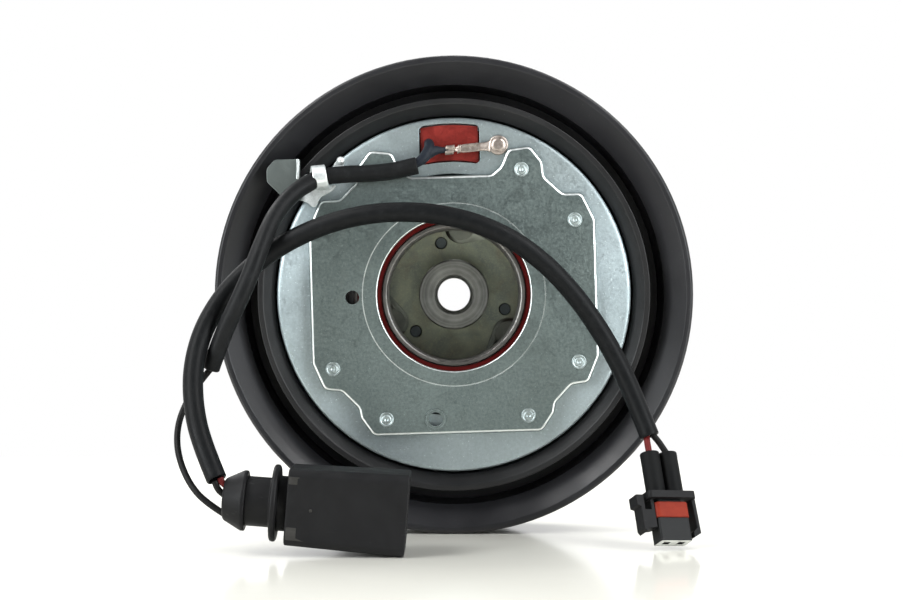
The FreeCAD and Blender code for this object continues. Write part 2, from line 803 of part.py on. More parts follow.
def make_cage(label, side):
    body = new_body(label)
    middle = bearing_y(f"bearing_width / 2 + {side} * ball_row")
    rear, front = f"{middle} - cage_half_width", f"{middle} + cage_half_width"
    revolve(body, [("cage_inner", rear), ("cage_outer", rear), ("cage_outer", front), ("cage_inner", front)])
    hole = new_sketch(body, "XY_Plane")
    draw_circle(hole, "ball_radius + 0.1", ("0", middle))
    repeat(body, pocket(body, hole, "cage_outer + 1", reverse=True), "ball_count")


def make_snap_ring():
    """An open ring with two eyes for pliers."""
    body = new_body("bearing_snap_ring")
    sketch = new_sketch(body, offset="-snap_rear")
    draw_sector(sketch, "snap_inner", "snap_groove - 0.2", "-80", "260")
    pad(body, sketch, "bearing_rear - snap_rear")
    eyes = new_sketch(body, offset="-snap_rear")
    for side in (-1, 1):
        draw_circle(eyes, "1.3", clock_face("(snap_inner + 0.2)", f"(180 + {side} * 13)"))
    pad(body, eyes, "bearing_rear - snap_rear")
    pins = new_sketch(body, offset="-snap_rear")
    for side in (-1, 1):
        draw_circle(pins, "0.6", clock_face("(snap_inner + 0.2)", f"(180 + {side} * 13)"))
    pocket(body, pins, "bearing_rear - snap_rear")


# ---------------------------------------------------------------- rotor and pulley


def make_rotor():
    body = new_body("rotor")
    inside = "rotor_face - face_thickness"
    revolve(
        body,
        [
            ("rotor_front_bore", "bearing_rear + bearing_width"),
            ("rotor_front_bore", "rotor_face"),
            ("rotor_radius - 0.5", "rotor_face"),
            ("rotor_radius", "rotor_face - 0.5"),
            ("rotor_radius", "rotor_rear"),
            ("rotor_mouth", "rotor_rear"),
            ("rotor_bore", "rotor_rear + rotor_mouth_depth"),
            ("rotor_bore", inside),
            ("rotor_core", inside),
            ("rotor_core", "rotor_core_rear"),
            ("bearing_outer", "rotor_core_rear"),
            ("bearing_outer", "snap_rear"),
            ("snap_groove", "snap_rear"),
            ("snap_groove", "bearing_rear"),
            ("bearing_outer", "bearing_rear"),
            ("bearing_outer", "bearing_rear + bearing_width"),
        ],
    )
    for middle, reach in (("inner_slot", 23), ("outer_slot", 24)):
        slot = new_sketch(body, offset=f"1 - ({inside})")
        inner, outer = f"{middle} - slot_half_width", f"{middle} + slot_half_width"
        draw_sector(slot, inner, outer, str(90 - reach), str(90 + reach))
        repeat(body, pocket(body, slot, "face_thickness + 2"), "slot_count")


def make_pulley_rim():
    body = new_body("pulley_rim")
    rear, front = "rim_rear", "rim_rear + rim_width"
    middle = "rim_rear + rim_width / 2"
    corners = [
        ("rim_lip", rear),
        ("rim_radius - 0.6", rear),
        ("rim_radius", "rim_rear + 0.6"),
        ("rim_radius", "rim_rear + flange_width - 0.9"),
        ("rib_radius", "rim_rear + flange_width"),
    ]
    for index in range(6):
        groove = f"{middle} + ({index} - 2.5) * rib_pitch"
        corners += [
            ("rib_radius", f"{groove} - rib_mouth"),
            ("rib_root", f"{groove} - rib_floor"),
            ("rib_root", f"{groove} + rib_floor"),
            ("rib_radius", f"{groove} + rib_mouth"),
        ]
    corners += [
        ("rib_radius", f"{front} - flange_width"),
        ("rim_radius", f"{front} - flange_width + 0.9"),
        ("rim_radius", f"{front} - 0.6"),
        ("rim_radius - 0.6", front),
        ("rim_lip", front),
        ("rim_bore + 1", "rim_web_front"),
        ("rotor_radius", "rim_web_front"),
        ("rotor_radius", "rim_web_rear"),
        ("rim_bore", "rim_web_rear"),
        ("rim_bore", "rim_rear + rim_flare_depth"),
    ]
    revolve(body, corners)


# ---------------------------------------------------------------- hub and armature

ARMATURE_REAR = "(rotor_face + air_gap)"
ARMATURE_FRONT = "(rotor_face + air_gap + armature_thickness)"
FLANGE_REAR = "(rotor_face + air_gap + armature_thickness + leaf_thickness)"
FLANGE_FRONT = "(rotor_face + air_gap + armature_thickness + leaf_thickness + flange_thickness)"


def make_armature():
    body = new_body("armature_plate")
    revolve(
        body,
        [
            ("armature_inner", ARMATURE_REAR),
            ("armature_outer", ARMATURE_REAR),
            ("armature_outer", f"{ARMATURE_FRONT} - 0.4"),
            ("armature_outer - 0.4", ARMATURE_FRONT),
            ("armature_inner", ARMATURE_FRONT),
        ],
    )
    slot = new_sketch(body, offset=f"1 - {ARMATURE_REAR}")
    inner, outer = "armature_slot - slot_half_width", "armature_slot + slot_half_width"
    draw_sector(slot, inner, outer, "67", "113")
    repeat(body, pocket(body, slot, "armature_thickness + 2"), "slot_count")
    hole = new_sketch(body, offset=f"1 - {ARMATURE_REAR}")
    draw_circle(hole, "rivet_shank", clock_face("armature_rivet_circle", "(hub_rivet_angle + leaf_angle)"))
    repeat(body, pocket(body, hole, "armature_thickness + 2"), "3")


def make_leaf_springs():
    """Three flat springs, each from a hub rivet out to an armature rivet."""
    body = new_body("leaf_springs")
    start = clock_face("hub_rivet_circle", "hub_rivet_angle")
    end = clock_face("armature_rivet_circle", "(hub_rivet_angle + leaf_angle)")
    sketch = new_sketch(body, offset=f"-{ARMATURE_FRONT}")
    draw_slot(sketch, start, end, "leaf_half_width")
    draw_circle(sketch, "rivet_shank", start)
    draw_circle(sketch, "rivet_shank", end)
    repeat(body, pad(body, sketch, "leaf_thickness"), "3")


def make_hub():
    body = new_body("hub")
    spigot_front = f"{FLANGE_REAR} + spigot_height"
    revolve(
        body,
        [
            ("bore_mouth", "boss_rear"),
            ("boss_radius - 0.4", "boss_rear"),
            ("boss_radius", "boss_rear + 0.4"),
            ("boss_radius", FLANGE_REAR),
            ("spigot_radius", FLANGE_REAR),
            ("spigot_radius", f"{spigot_front} - 0.4"),
            ("spigot_radius - 0.4", spigot_front),
            ("shaft_bore", spigot_front),
            ("shaft_bore", "boss_rear + bore_mouth_depth"),
        ],
    )


def make_hub_flange():
    body = new_body("hub_flange")
    rear = f"-{FLANGE_REAR}"
    disc = new_sketch(body, offset=rear)
    draw_circle(disc, "flange_radius")
    pad(body, disc, "flange_thickness")
    arm = new_sketch(body, offset=rear)
    draw_slot(arm, ("0", "0"), clock_face("arm_reach", "arm_angle"), "arm_half_width")
    repeat(body, pad(body, arm, "flange_thickness"), "3")
    centre = new_sketch(body, offset=f"1 - {FLANGE_REAR}")
    draw_circle(centre, "spigot_radius")
    pocket(body, centre, "flange_thickness + 2")
    for radius, circle, angle, depth in (
        ("rivet_shank", "hub_rivet_circle", "hub_rivet_angle", "flange_thickness + 2"),
        ("dimple_radius", "dimple_circle", "dimple_angle", "1 + dimple_depth"),
        ("stop_radius", "arm_reach", "arm_angle", "flange_thickness + 2"),
    ):
        hole = new_sketch(body, offset=f"1 - {FLANGE_REAR}")
        draw_circle(hole, radius, clock_face(circle, angle))
        repeat(body, pocket(body, hole, depth), "3")


def make_rivets(label, circle, angle, steps):
    """Three rivets, each a stack of round steps: (radius, rear face, length)."""
    body = new_body(label)
    for radius, rear, length in steps:
        sketch = new_sketch(body, offset=f"-({rear})")
        for index in range(3):
            draw_circle(sketch, radius, clock_face(circle, f"({angle} + {120 * index})"))
        pad(body, sketch, length)


def make_hub_rivets():
    head = "rivet_head_height"
    make_rivets(
        "hub_rivets",
        "hub_rivet_circle",
        "hub_rivet_angle",
        [
            ("rivet_head", f"{ARMATURE_FRONT} - {head}", head),
            ("rivet_shank", ARMATURE_FRONT, "leaf_thickness + flange_thickness"),
            ("rivet_head", FLANGE_FRONT, head),
        ],
    )


def make_armature_rivets():
    make_rivets(
        "armature_rivets",
        "armature_rivet_circle",
        "hub_rivet_angle + leaf_angle",
        [
            ("rivet_shank", f"{ARMATURE_REAR} + 0.4", "armature_thickness + leaf_thickness - 0.4"),
            ("rivet_head", FLANGE_REAR, "rivet_head_height"),
        ],
    )


def make_rubber_stops():
    """Buttons that the armature comes back to, held in the flange's arms."""
    make_rivets(
        "rubber_stops",
        "arm_reach",
        "arm_angle",
        [
            ("stop_radius", ARMATURE_FRONT, "leaf_thickness + flange_thickness"),
            ("stop_radius + 1", FLANGE_FRONT, "1"),
        ],
    )


# ---------------------------------------------------------------- wires and cords


def tube(label, route, diameter):
    """A round tube of straight runs joined by tangent arcs."""
    radius = number(diameter) / 2
    places = [FreeCAD.Vector(*point) for point in route]
    edges, radii, start = [], [], places[0]
    for before, corner, after in zip(places, places[1:], places[2:]):
        back, ahead = before - corner, after - corner
        half_turn = (math.pi - back.getAngle(ahead)) / 2
        trim = 0.45 * min(back.Length, ahead.Length)
        radii.append(trim / math.tan(half_turn))
        arc_start = corner + back.normalize() * trim
        arc_end = corner + ahead.normalize() * trim
        inward = (back + ahead).normalize()
        middle = corner + inward * (radii[-1] / math.cos(half_turn) - radii[-1])
        edges.append(Part.LineSegment(start, arc_start).toShape())
        edges.append(Part.Arc(arc_start, middle, arc_end).toShape())
        start = arc_end
    edges.append(Part.LineSegment(start, places[-1]).toShape())
    path = Part.Wire(edges)
    ring = Part.Wire(Part.makeCircle(radius, places[0], places[1] - places[0]))
    node = doc.addObject("Part::Feature", label)
    node.Label = label
    node.Shape = path.makePipeShell([ring], True, False)
    nodes.append(node)
    share = node.Shape.Volume / (math.pi * radius**2 * path.Length)
    print(f"{label}: length {path.Length:.1f}, volume share {share:.3f}, smallest arc {min(radii):.1f}")
    print("  arcs " + " ".join(f"{value:.1f}" for value in radii))


# ---------------------------------------------------------------- large plug


def spin_along_x(body, corners):
    """A solid of revolution about X from an outline of (x, radius) corners."""
    sketch = new_sketch(body, "XZ_Plane")
    draw_outline(sketch, corners)
    axis = (sketch, ["H_Axis"])
    return add_feature(body, "PartDesign::Revolution", "turned", Profile=sketch, ReferenceAxis=axis, Angle=360)


def make_rear_cap():
    body = new_body("plug_rear_cap")
    spin_along_x(
        body,
        [
            ("0", "0"),
            ("0", "cap_rear_radius - 0.6"),
            ("0.6", "cap_rear_radius"),
            ("cap_length - cap_lip", "cap_radius"),
            ("cap_length", "cap_radius"),
            ("cap_length", "0"),
        ],
    )
    body.Placement = LARGE_PLUG_PLACE


def make_plug_moulding():
    """The neck with its fin, and the shell with its socket, in one."""
    body = new_body("plug_moulding", whole_node=False)
    fin_front = "fin_rear + fin_thickness"
    spin_along_x(
        body,
        [
            ("cap_length", "grommet_radius"),
            ("cap_length", "neck_radius"),
            ("fin_rear", "neck_radius"),
            ("fin_rear + 0.3", "fin_radius"),
            (f"{fin_front} - 0.3", "fin_radius"),
            (fin_front, "neck_front_radius"),
            ("shell_rear + 0.5", "neck_front_radius"),
            ("shell_rear + 0.5", "grommet_radius"),
        ],
    )
    shell = new_sketch(body, "YZ_Plane", "shell_rear")
    draw_rounded_box(shell, "shell_half_depth", "shell_half_height", "shell_corner")
    pad(body, shell, "shell_length", reverse=False, taper=number("shell_taper"))
    socket = new_sketch(body, "YZ_Plane", "shell_rear + shell_length")
    width = "shell_half_depth - shell_wall + 0.5"
    height = "shell_half_height - shell_wall + 0.5"
    draw_rounded_box(socket, width, height, "shell_corner - 1")
    pocket(body, socket, "socket_depth")
    holes = new_sketch(body, "YZ_Plane", "shell_rear")
    for index in (-1, 0, 1):
        draw_circle(holes, "shank_radius", ("0", f"{index} * blade_pitch"))
    pocket(body, holes, "shell_length", reverse=True)
    body.Placement = LARGE_PLUG_PLACE
    return body


def cut_from(whole, label, corners, start, length):
    """The part of a body inside a straight block with that outline across X."""
    block = new_body(label + "_block", whole_node=False)
    sketch = new_sketch(block, "YZ_Plane", start)
    draw_outline(sketch, corners)
    pad(block, sketch, length, reverse=False)
    block.Placement = whole.Placement
    part = doc.addObject("Part::MultiCommon", label)
    part.Label = label
    part.Shapes = [whole, block]
    return part


def make_plug_housing():
    """The housing's rear up to the socket's floor, and the four mitred walls of its shroud."""
    whole = make_plug_moulding()
    floor = "(shell_rear + shell_length - socket_depth)"
    reach = "(2 * shell_half_height)"
    around = [(f"-{reach}", f"-{reach}"), (reach, f"-{reach}"), (reach, reach), (f"-{reach}", reach)]
    nodes.append(cut_from(whole, "plug_housing", around, "0", floor))
    mitre = "(shell_half_height - shell_half_depth)"
    walls = []
    for up in ("", "-"):
        far = f"{up}({reach} + {mitre})"
        corners = [("0", f"{up}{mitre}"), (reach, far), (f"-{reach}", far)]
        walls.append(cut_from(whole, "plug_wall", corners, floor, "shell_length"))
    for side in ("", "-"):
        out, far = f"{side}{reach}", f"({reach} + {mitre})"
        corners = [("0", f"-{mitre}"), (out, f"-{far}"), (out, far), ("0", mitre)]
        walls.append(cut_from(whole, "plug_wall", corners, floor, "shell_length"))
    shroud = doc.addObject("Part::Compound", "plug_shroud")
    shroud.Label = "plug_shroud"
    shroud.Links = walls
    nodes.append(shroud)


def make_plug_grommet():
    body = new_body("plug_wire_seal")
    sketch = new_sketch(body, "YZ_Plane", "cap_length")
    draw_circle(sketch, "grommet_radius")
    pad(body, sketch, "shell_rear - cap_length", reverse=False)
    body.Placement = LARGE_PLUG_PLACE


def make_plug_terminals():
    """Three contacts, each a round shank in the partition with a flat blade in the socket."""
    body = new_body("plug_terminals")
    shanks = new_sketch(body, "YZ_Plane", "shell_rear")
    for index in (-1, 0, 1):
        draw_circle(shanks, "shank_radius", ("0", f"{index} * blade_pitch"))
    pad(body, shanks, "shell_length - socket_depth", reverse=False)
    blades = new_sketch(body, "YZ_Plane", "shell_rear + shell_length - socket_depth")
    for index in (-1, 0, 1):
        middle = f"{index} * blade_pitch"
        low, high = f"{middle} - blade_thickness / 2", f"{middle} + blade_thickness / 2"
        side = "blade_width / 2"
        draw_outline(blades, [(f"-{side}", low), (side, low), (side, high), (f"-{side}", high)])
    pad(body, blades, "socket_depth - 8", reverse=False)
    body.Placement = LARGE_PLUG_PLACE


# ---------------------------------------------------------------- small plug


def box_pad(body, half_width, half_depth, corner, top, length):
    """A block with round edges that hangs down from a height."""
    sketch = new_sketch(body, "XY_Plane", top)
    draw_rounded_box(sketch, half_width, half_depth, corner)
    return pad(body, sketch, length)


def make_boots():
    body = new_body("small_plug_boots")
    sketch = new_sketch(body, "XY_Plane")
    for side in (-1, 1):
        draw_circle(sketch, "boot_radius - 0.02", (f"{side} * boot_pitch / 2", "0"))
    pad(body, sketch, "boot_length")
    body.Placement = SMALL_PLUG_PLACE


def make_collar():
    """A flange with a rocking latch on one side and a plain guide arm on the other."""
    body = new_body("small_plug_collar")
    box_pad(body, "collar_half_width", "collar_half_depth", "1", "-boot_length", "collar_thickness")
    arms = new_sketch(body, "XZ_Plane", "latch_half_depth")
    draw_outline(
        arms,
        [
            ("-latch_inner", "-boot_length - 0.5"),
            ("-latch_inner", "-boot_length - 4.4"),
            ("1 - latch_bar", "-boot_length - 4.4"),
            ("1 - latch_bar", "-boot_length - 0.6"),
            ("-latch_knob", "-boot_length - 0.6"),
            ("-latch_knob", "-boot_length - 3.2"),
            ("-latch_bar", "-boot_length - 3.6"),
            ("-latch_bar", "-boot_length - 9.2"),
            ("0.6 - latch_bar", "-boot_length - 10.0"),
            ("1.2 - latch_bar", "-boot_length - 9.2"),
            ("0.8 - latch_inner", "-boot_length - 8.9"),
            ("0.8 - latch_inner", "-boot_length - 0.5"),
        ],
    )
    draw_outline(
        arms,
        [
            ("collar_half_width - 0.6", "-boot_length - 1.0"),
            ("collar_half_width + 0.4", "-boot_length - 1.0"),
            ("collar_half_width + 0.6", "-boot_length - 10.4"),
            ("collar_half_width - 1.4", "-boot_length - 11.4"),
            ("collar_half_width - 1.4", "-boot_length - 10.0"),
            ("collar_half_width - 0.2", "-boot_length - 9.0"),
        ],
    )
    pad(body, arms, "2 * latch_half_depth")
    middle = new_sketch(body, "XY_Plane", "-boot_length - collar_thickness")
    draw_rounded_box(middle, "core_half_width", "core_half_depth", "0.6")
    pocket(body, middle, "collar_thickness", reverse=True)
    body.Placement = SMALL_PLUG_PLACE


def make_small_body():
    body = new_body("small_plug_body")
    core_length = "(collar_thickness + seal_drop + red_length)"
    box_pad(body, "core_half_width", "core_half_depth", "0.6", "-boot_length", core_length)
    nose_top = f"-(boot_length + {core_length})"
    box_pad(body, "nose_half_width", "nose_half_depth", "0.5", nose_top, "nose_length")
    holes = new_sketch(body, "XY_Plane", f"{nose_top} - nose_length")
    for side in (-1, 1):
        low, high = f"{side} * pin_pitch / 2 - pin_hole / 2", f"{side} * pin_pitch / 2 + pin_hole / 2"
        near, far = "-pin_hole / 2", "pin_hole / 2"
        draw_outline(holes, [(low, near), (high, near), (high, far), (low, far)])
    pocket(body, holes, "pin_depth", reverse=True)
    body.Placement = SMALL_PLUG_PLACE


def make_red_seal():
    body = new_body("small_plug_seal")
    top = "-(boot_length + collar_thickness + seal_drop)"
    box_pad(body, "red_half_width", "red_half_depth", "1.2", top, "red_length")
    hollow = new_sketch(body, "XY_Plane", f"{top} - red_length")
    draw_rounded_box(hollow, "core_half_width", "core_half_depth", "0.6")
    pocket(body, hollow, "red_length", reverse=True)
    body.Placement = SMALL_PLUG_PLACE


def make_contacts():
    """Two square sockets at the bottom of the nose's holes."""
    body = new_body("small_plug_contacts")
    nose_end = "-(boot_length + collar_thickness + seal_drop + red_length + nose_length)"
    sketch = new_sketch(body, "XY_Plane", f"{nose_end} + 1")
    for side in (-1, 1):
        middle = f"{side} * pin_pitch / 2"
        reach, wall = "(pin_hole / 2 - 0.05)", "(pin_hole / 2 - 0.35)"
        for half in (reach, wall):
            low, high = f"{middle} - {half}", f"{middle} + {half}"
            draw_outline(sketch, [(low, f"-{half}"), (high, f"-{half}"), (high, half), (low, half)])
    pad(body, sketch, "pin_depth - 1", reverse=False)
    body.Placement = SMALL_PLUG_PLACE


# ---------------------------------------------------------------- build, check and write

make_coil_plate()
make_plate_welds()
make_coil_housing()
make_bobbin()
make_winding()
make_resin()
make_ground_terminal()
make_wire_clamp()
tube("coil_lead_wire", COIL_LEAD_ROUTE, "wire_diameter")
tube("ground_wire", GROUND_WIRE_ROUTE, "wire_diameter")

make_inner_ring()
make_outer_ring()
make_seal("bearing_seal_rear", bearing_y("seal_inset"))
make_seal("bearing_seal_front", bearing_y("bearing_width - seal_inset - seal_thickness"))
make_balls()
make_cage("bearing_cage_rear", -1)
make_cage("bearing_cage_front", 1)
make_snap_ring()

make_rotor()
make_pulley_rim()

make_armature()
make_leaf_springs()
make_hub()
make_hub_flange()
make_hub_rivets()
make_armature_rivets()
make_rubber_stops()

tube("lead_sleeve", LEAD_SLEEVE_ROUTE, "lead_sleeve_diameter")
tube("lead_wire", LEAD_WIRE_ROUTE, "lead_wire_diameter")
tube("harness_sleeve", HARNESS_ROUTE, "harness_diameter")
tube("plug_red_wire", PLUG_RED_ROUTE, "core_diameter")
tube("plug_black_wire", PLUG_BLACK_ROUTE, "core_diameter")
tube("sensor_red_wire", SENSOR_RED_ROUTE, "core_diameter")
tube("sensor_black_wire", SENSOR_BLACK_ROUTE, "core_diameter")

make_rear_cap()
make_plug_housing()
make_plug_grommet()
make_plug_terminals()
make_boots()
make_collar()
make_small_body()
make_red_seal()
make_contacts()

doc.recompute()
for item in doc.Objects:
    if "Invalid" in item.State or "Error" in item.State:
        raise RuntimeError(f"{item.Label} did not build: {item.State}")
for node in nodes:
    if node.Shape.isNull() or not node.Shape.isValid():
        raise RuntimeError(f"{node.Label} has no valid shape")

os.makedirs("parts", exist_ok=True)
for node in nodes:
    node.Shape.exportStep(f"parts/{node.Label}.step")
    box = node.Shape.BoundBox
    print(
        f"{node.Label}: {len(node.Shape.Solids)} solids, {node.Shape.Volume:.0f} mm3, "
        f"x {box.XMin:.2f} {box.XMax:.2f}, y {box.YMin:.2f} {box.YMax:.2f}, z {box.ZMin:.2f} {box.ZMax:.2f}"
    )
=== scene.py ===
import json
import math

import bmesh
import bpy
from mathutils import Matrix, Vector, noise


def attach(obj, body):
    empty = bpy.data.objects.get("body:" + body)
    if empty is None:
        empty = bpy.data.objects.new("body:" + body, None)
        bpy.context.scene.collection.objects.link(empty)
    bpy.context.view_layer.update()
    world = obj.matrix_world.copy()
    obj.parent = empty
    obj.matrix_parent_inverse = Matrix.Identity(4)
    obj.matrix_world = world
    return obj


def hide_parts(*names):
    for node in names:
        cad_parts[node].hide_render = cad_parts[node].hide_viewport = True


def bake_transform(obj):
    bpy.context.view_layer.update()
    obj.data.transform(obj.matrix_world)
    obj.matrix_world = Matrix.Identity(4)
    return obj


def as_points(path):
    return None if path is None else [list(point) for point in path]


MM = 0.001
FLOOR = -0.06256
ROUTE_STEP = 0.8
CAMERA_DISTANCE = 0.499
LENS = 76.43

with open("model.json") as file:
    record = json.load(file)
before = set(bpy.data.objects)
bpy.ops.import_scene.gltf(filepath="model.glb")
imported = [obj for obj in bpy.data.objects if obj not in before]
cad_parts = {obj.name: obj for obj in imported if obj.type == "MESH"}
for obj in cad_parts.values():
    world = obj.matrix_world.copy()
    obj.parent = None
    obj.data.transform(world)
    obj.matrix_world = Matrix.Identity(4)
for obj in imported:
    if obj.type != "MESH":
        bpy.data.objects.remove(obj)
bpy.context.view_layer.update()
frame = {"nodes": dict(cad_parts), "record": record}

# ------------------------------ camera and cords

camera_data = bpy.data.cameras.new("camera")
camera_data.sensor_width = 36
camera_data.lens = LENS
camera_data.shift_x = -0.0027
camera_data.shift_y = -0.0061
camera_data.clip_start = 0.01
camera = bpy.data.objects.new("camera", camera_data)
camera.location = (0, -CAMERA_DISTANCE, 0)
camera.rotation_euler = (math.pi / 2, 0, 0)
bpy.context.scene.collection.objects.link(camera)
bpy.context.scene.camera = camera

# Routes in millimetres, in the row frame, as in the part.
LEAD_SLEEVE_ROUTE = [
    (-9.6, -2.6, 33.4),
    (-15.7, -2.6, 31.9),
    (-21.8, -2.7, 31.3),
    (-27.9, -3.0, 31.1),
    (-33.8, -3.7, 30.5),
    (-39.0, -5.8, 27.9),
    (-42.9, -9.0, 24.1),
    (-45.7, -12.5, 19.6),
    (-47.6, -15.8, 14.6),
    (-49.4, -18.4, 9.3),
    (-51.4, -19.9, 3.7),
    (-53.8, -20.5, -1.8),
    (-56.5, -20.0, -7.3),
    (-58.9, -19.0, -12.9),
    (-61.0, -17.9, -18.6),
]
LEAD_WIRE_ROUTE = [
    (-61.0, -17.9, -18.6),
    (-64.5, -17.6, -22.8),
    (-67.2, -19.9, -27.5),
    (-68.4, -23.8, -32.2),
    (-68.2, -27.4, -36.9),
    (-66.7, -30.9, -41.4),
    (-64.1, -33.8, -46.0),
    (-60.4, -35.6, -50.0),
    (-55.5, -36.0, -53.0),
]
HARNESS_ROUTE = [
    (-57.3, -36.1, -44.6),
    (-61.3, -32.8, -36.4),
    (-64.0, -28.2, -27.7),
    (-64.9, -23.1, -18.7),
    (-63.4, -18.1, -9.8),
    (-59.2, -13.8, -1.2),
    (-52.5, -11.5, 6.4),
    (-44.2, -11.5, 12.5),
    (-34.9, -12.8, 17.0),
    (-25.0, -14.2, 19.9),
    (-14.7, -15.3, 21.0),
    (-4.4, -16.2, 20.4),
    (5.6, -16.6, 18.1),
    (15.1, -16.5, 13.8),
    (23.4, -15.8, 7.6),
    (30.5, -14.6, 0.1),
    (36.6, -13.9, -8.4),
    (41.7, -14.1, -17.4),
    (45.8, -15.4, -26.6),
    (49.1, -17.8, -35.6),
]


def link(name, data, body="coil_side", replaced=()):
    """Puts a piece in the scene, on its body."""
    piece = bpy.data.objects.new(name, data)
    bpy.context.scene.collection.objects.link(piece)
    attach(piece, body)
    if replaced:
        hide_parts(*replaced)
    return piece


def nurbs(name, route):
    """A smooth curve with the route's points as its control points."""
    curve = bpy.data.curves.new(name, "CURVE")
    curve.dimensions = "3D"
    curve.resolution_u = 16
    spline = curve.splines.new("NURBS")
    spline.points.add(len(route) - 1)
    for point, place in zip(spline.points, route):
        point.co = (*(Vector(place) * MM), 1)
    spline.order_u = 3
    spline.use_endpoint_u = True
    return curve


def centre_line(route, step=ROUTE_STEP):
    """Points read from the route's curve, evenly spaced, in metres. The step is in millimetres."""
    probe = bpy.data.objects.new("probe", nurbs("probe", route))
    bpy.context.scene.collection.objects.link(probe)
    bpy.context.view_layer.update()
    mesh = bpy.data.meshes.new_from_object(probe)
    dense = [vertex.co.copy() for vertex in mesh.vertices]
    bpy.data.meshes.remove(mesh)
    bpy.data.curves.remove(probe.data)
    travelled = [0.0]
    for a, b in zip(dense, dense[1:]):
        travelled.append(travelled[-1] + (b - a).length)
    count = max(4, round(travelled[-1] / (step * MM)))
    line, index = [], 0
    for share in range(count + 1):
        want = travelled[-1] * share / count
        while index < len(dense) - 2 and travelled[index + 1] < want:
            index += 1
        span = max(travelled[index + 1] - travelled[index], 1e-9)
        line.append(dense[index].lerp(dense[index + 1], min(1, (want - travelled[index]) / span)))
    return line


def frames(line):
    """A tangent and two side directions at each point, turning as little as possible."""
    tangents = []
    for index in range(len(line)):
        ahead = line[min(index + 1, len(line) - 1)]
        tangents.append((ahead - line[max(index - 1, 0)]).normalized())
    side = tangents[0].cross(Vector((0, 0, 1))).normalized()
    found = []
    for tangent in tangents:
        side = (side - tangent * side.dot(tangent)).normalized()
        found.append((tangent, side, tangent.cross(side)))
    return found


def turn_angles(turns):
    return [2 * math.pi * turn / turns for turn in range(turns)]


def rings_mesh(name, rings, capped=True):
    """A closed skin over rings of equal point counts."""
    count = len(rings[0])
    points = [point for ring in rings for point in ring]
    faces = []
    for row in range(len(rings) - 1):
        for turn in range(count):
            after = (turn + 1) % count
            low, high = row * count, (row + 1) * count
            faces.append((low + turn, low + after, high + after, high + turn))
    if capped:
        faces.append(tuple(reversed(range(count))))
        faces.append(tuple(range(len(points) - count, len(points))))
    mesh = bpy.data.meshes.new(name)
    mesh.from_pydata(points, [], faces)
    mesh.update()
    mesh.shade_smooth()
    return mesh


def sleeve(name, route, radius, wall, shape, depth=5, turns=40):
    """A cut length of sleeving, open at both ends, with a shape(s, angle) factor on its radius."""
    line = centre_line(route)
    places = frames(line)
    length = len(line) - 1
    inner = radius - wall

    def ring(index, size, shift=0.0, plain=False):
        centre = line[index] + places[index][0] * shift * MM
        _, side, up = places[index]
        points = []
        for angle in turn_angles(turns):
            factor = 1 if plain else shape(index / length, angle)
            reach = size * factor * MM
            points.append(centre + side * reach * math.cos(angle) + up * reach * math.sin(angle))
        return points

    deep = round(depth / ROUTE_STEP)
    rings = [ring(index, inner, plain=True) for index in range(deep, 0, -1)]
    rings += [ring(0, inner, 0.05), ring(0, inner + wall * 0.35, -0.1), ring(0, radius - wall * 0.3, -0.1)]
    rings += [ring(0, radius, 0.12)]
    rings += [ring(index, radius) for index in range(1, length)]
    rings += [ring(length, radius, -0.12), ring(length, radius - wall * 0.3, 0.1)]
    rings += [ring(length, inner + wall * 0.35, 0.1), ring(length, inner, -0.05)]
    rings += [ring(index, inner, plain=True) for index in range(length - 1, length - deep - 1, -1)]
    return rings_mesh(name, rings), line


def wire(name, route, radius, turns=24):
    """A solid round wire, closed at both ends."""
    line = centre_line(route)
    rings = []
    for centre, (_, side, up) in zip(line, frames(line)):
        outward = [side * math.cos(angle) + up * math.sin(angle) for angle in turn_angles(turns)]
        rings.append([centre + out * radius * MM for out in outward])
    return rings_mesh(name, rings), line


def lead_shape(share, angle):
    """Slack thin sleeving: faint lengthwise folds, and a waist under the clamp's finger."""
    fold = 0.022 * math.sin(2 * angle + 3 * share) + 0.012 * math.sin(5 * angle + 14 * share)
    pinch = math.exp(-(((share - 0.287) / 0.02) ** 2))
    ripple = 0.012 * math.sin(150 * share) * math.exp(-(((share - 0.36) / 0.05) ** 2))
    dents = 0.02 * noise.noise((share * 22, math.cos(angle), math.sin(angle)))
    return 1 + fold + ripple + dents - 0.05 * pinch


def harness_shape(share, angle):
    """Firm sleeving with a soft ridge where the wires inside lie against its wall."""
    ridge = 0.014 * math.cos(2 * angle + 5 * share)
    dents = 0.012 * noise.noise((share * 30, math.cos(angle) * 1.3, math.sin(angle) * 1.3))
    return 1 + ridge + dents


def cord_facts(points, step=4):
    """Every few of a centre line's points, and its last one."""
    return [tuple(point) for point in points[::step]] + [tuple(points[-1])]


mesh, lead_sleeve_line = sleeve("lead_sleeve_skin", LEAD_SLEEVE_ROUTE, 2.25, 0.55, lead_shape)
lead_sleeve = link("lead_sleeve_skin", mesh, replaced=["lead_sleeve"])
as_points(cord_facts(lead_sleeve_line, 2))

mesh, lead_wire_line = wire("lead_wire_core", LEAD_WIRE_ROUTE, 0.8)
lead_wire = link("lead_wire_core", mesh, replaced=["lead_wire"])

mesh, harness_line = sleeve("harness_sleeve_skin", HARNESS_ROUTE, 2.5, 0.5, harness_shape)
harness = link("harness_sleeve_skin", mesh, replaced=["harness_sleeve"])


# ------------------------------ materials


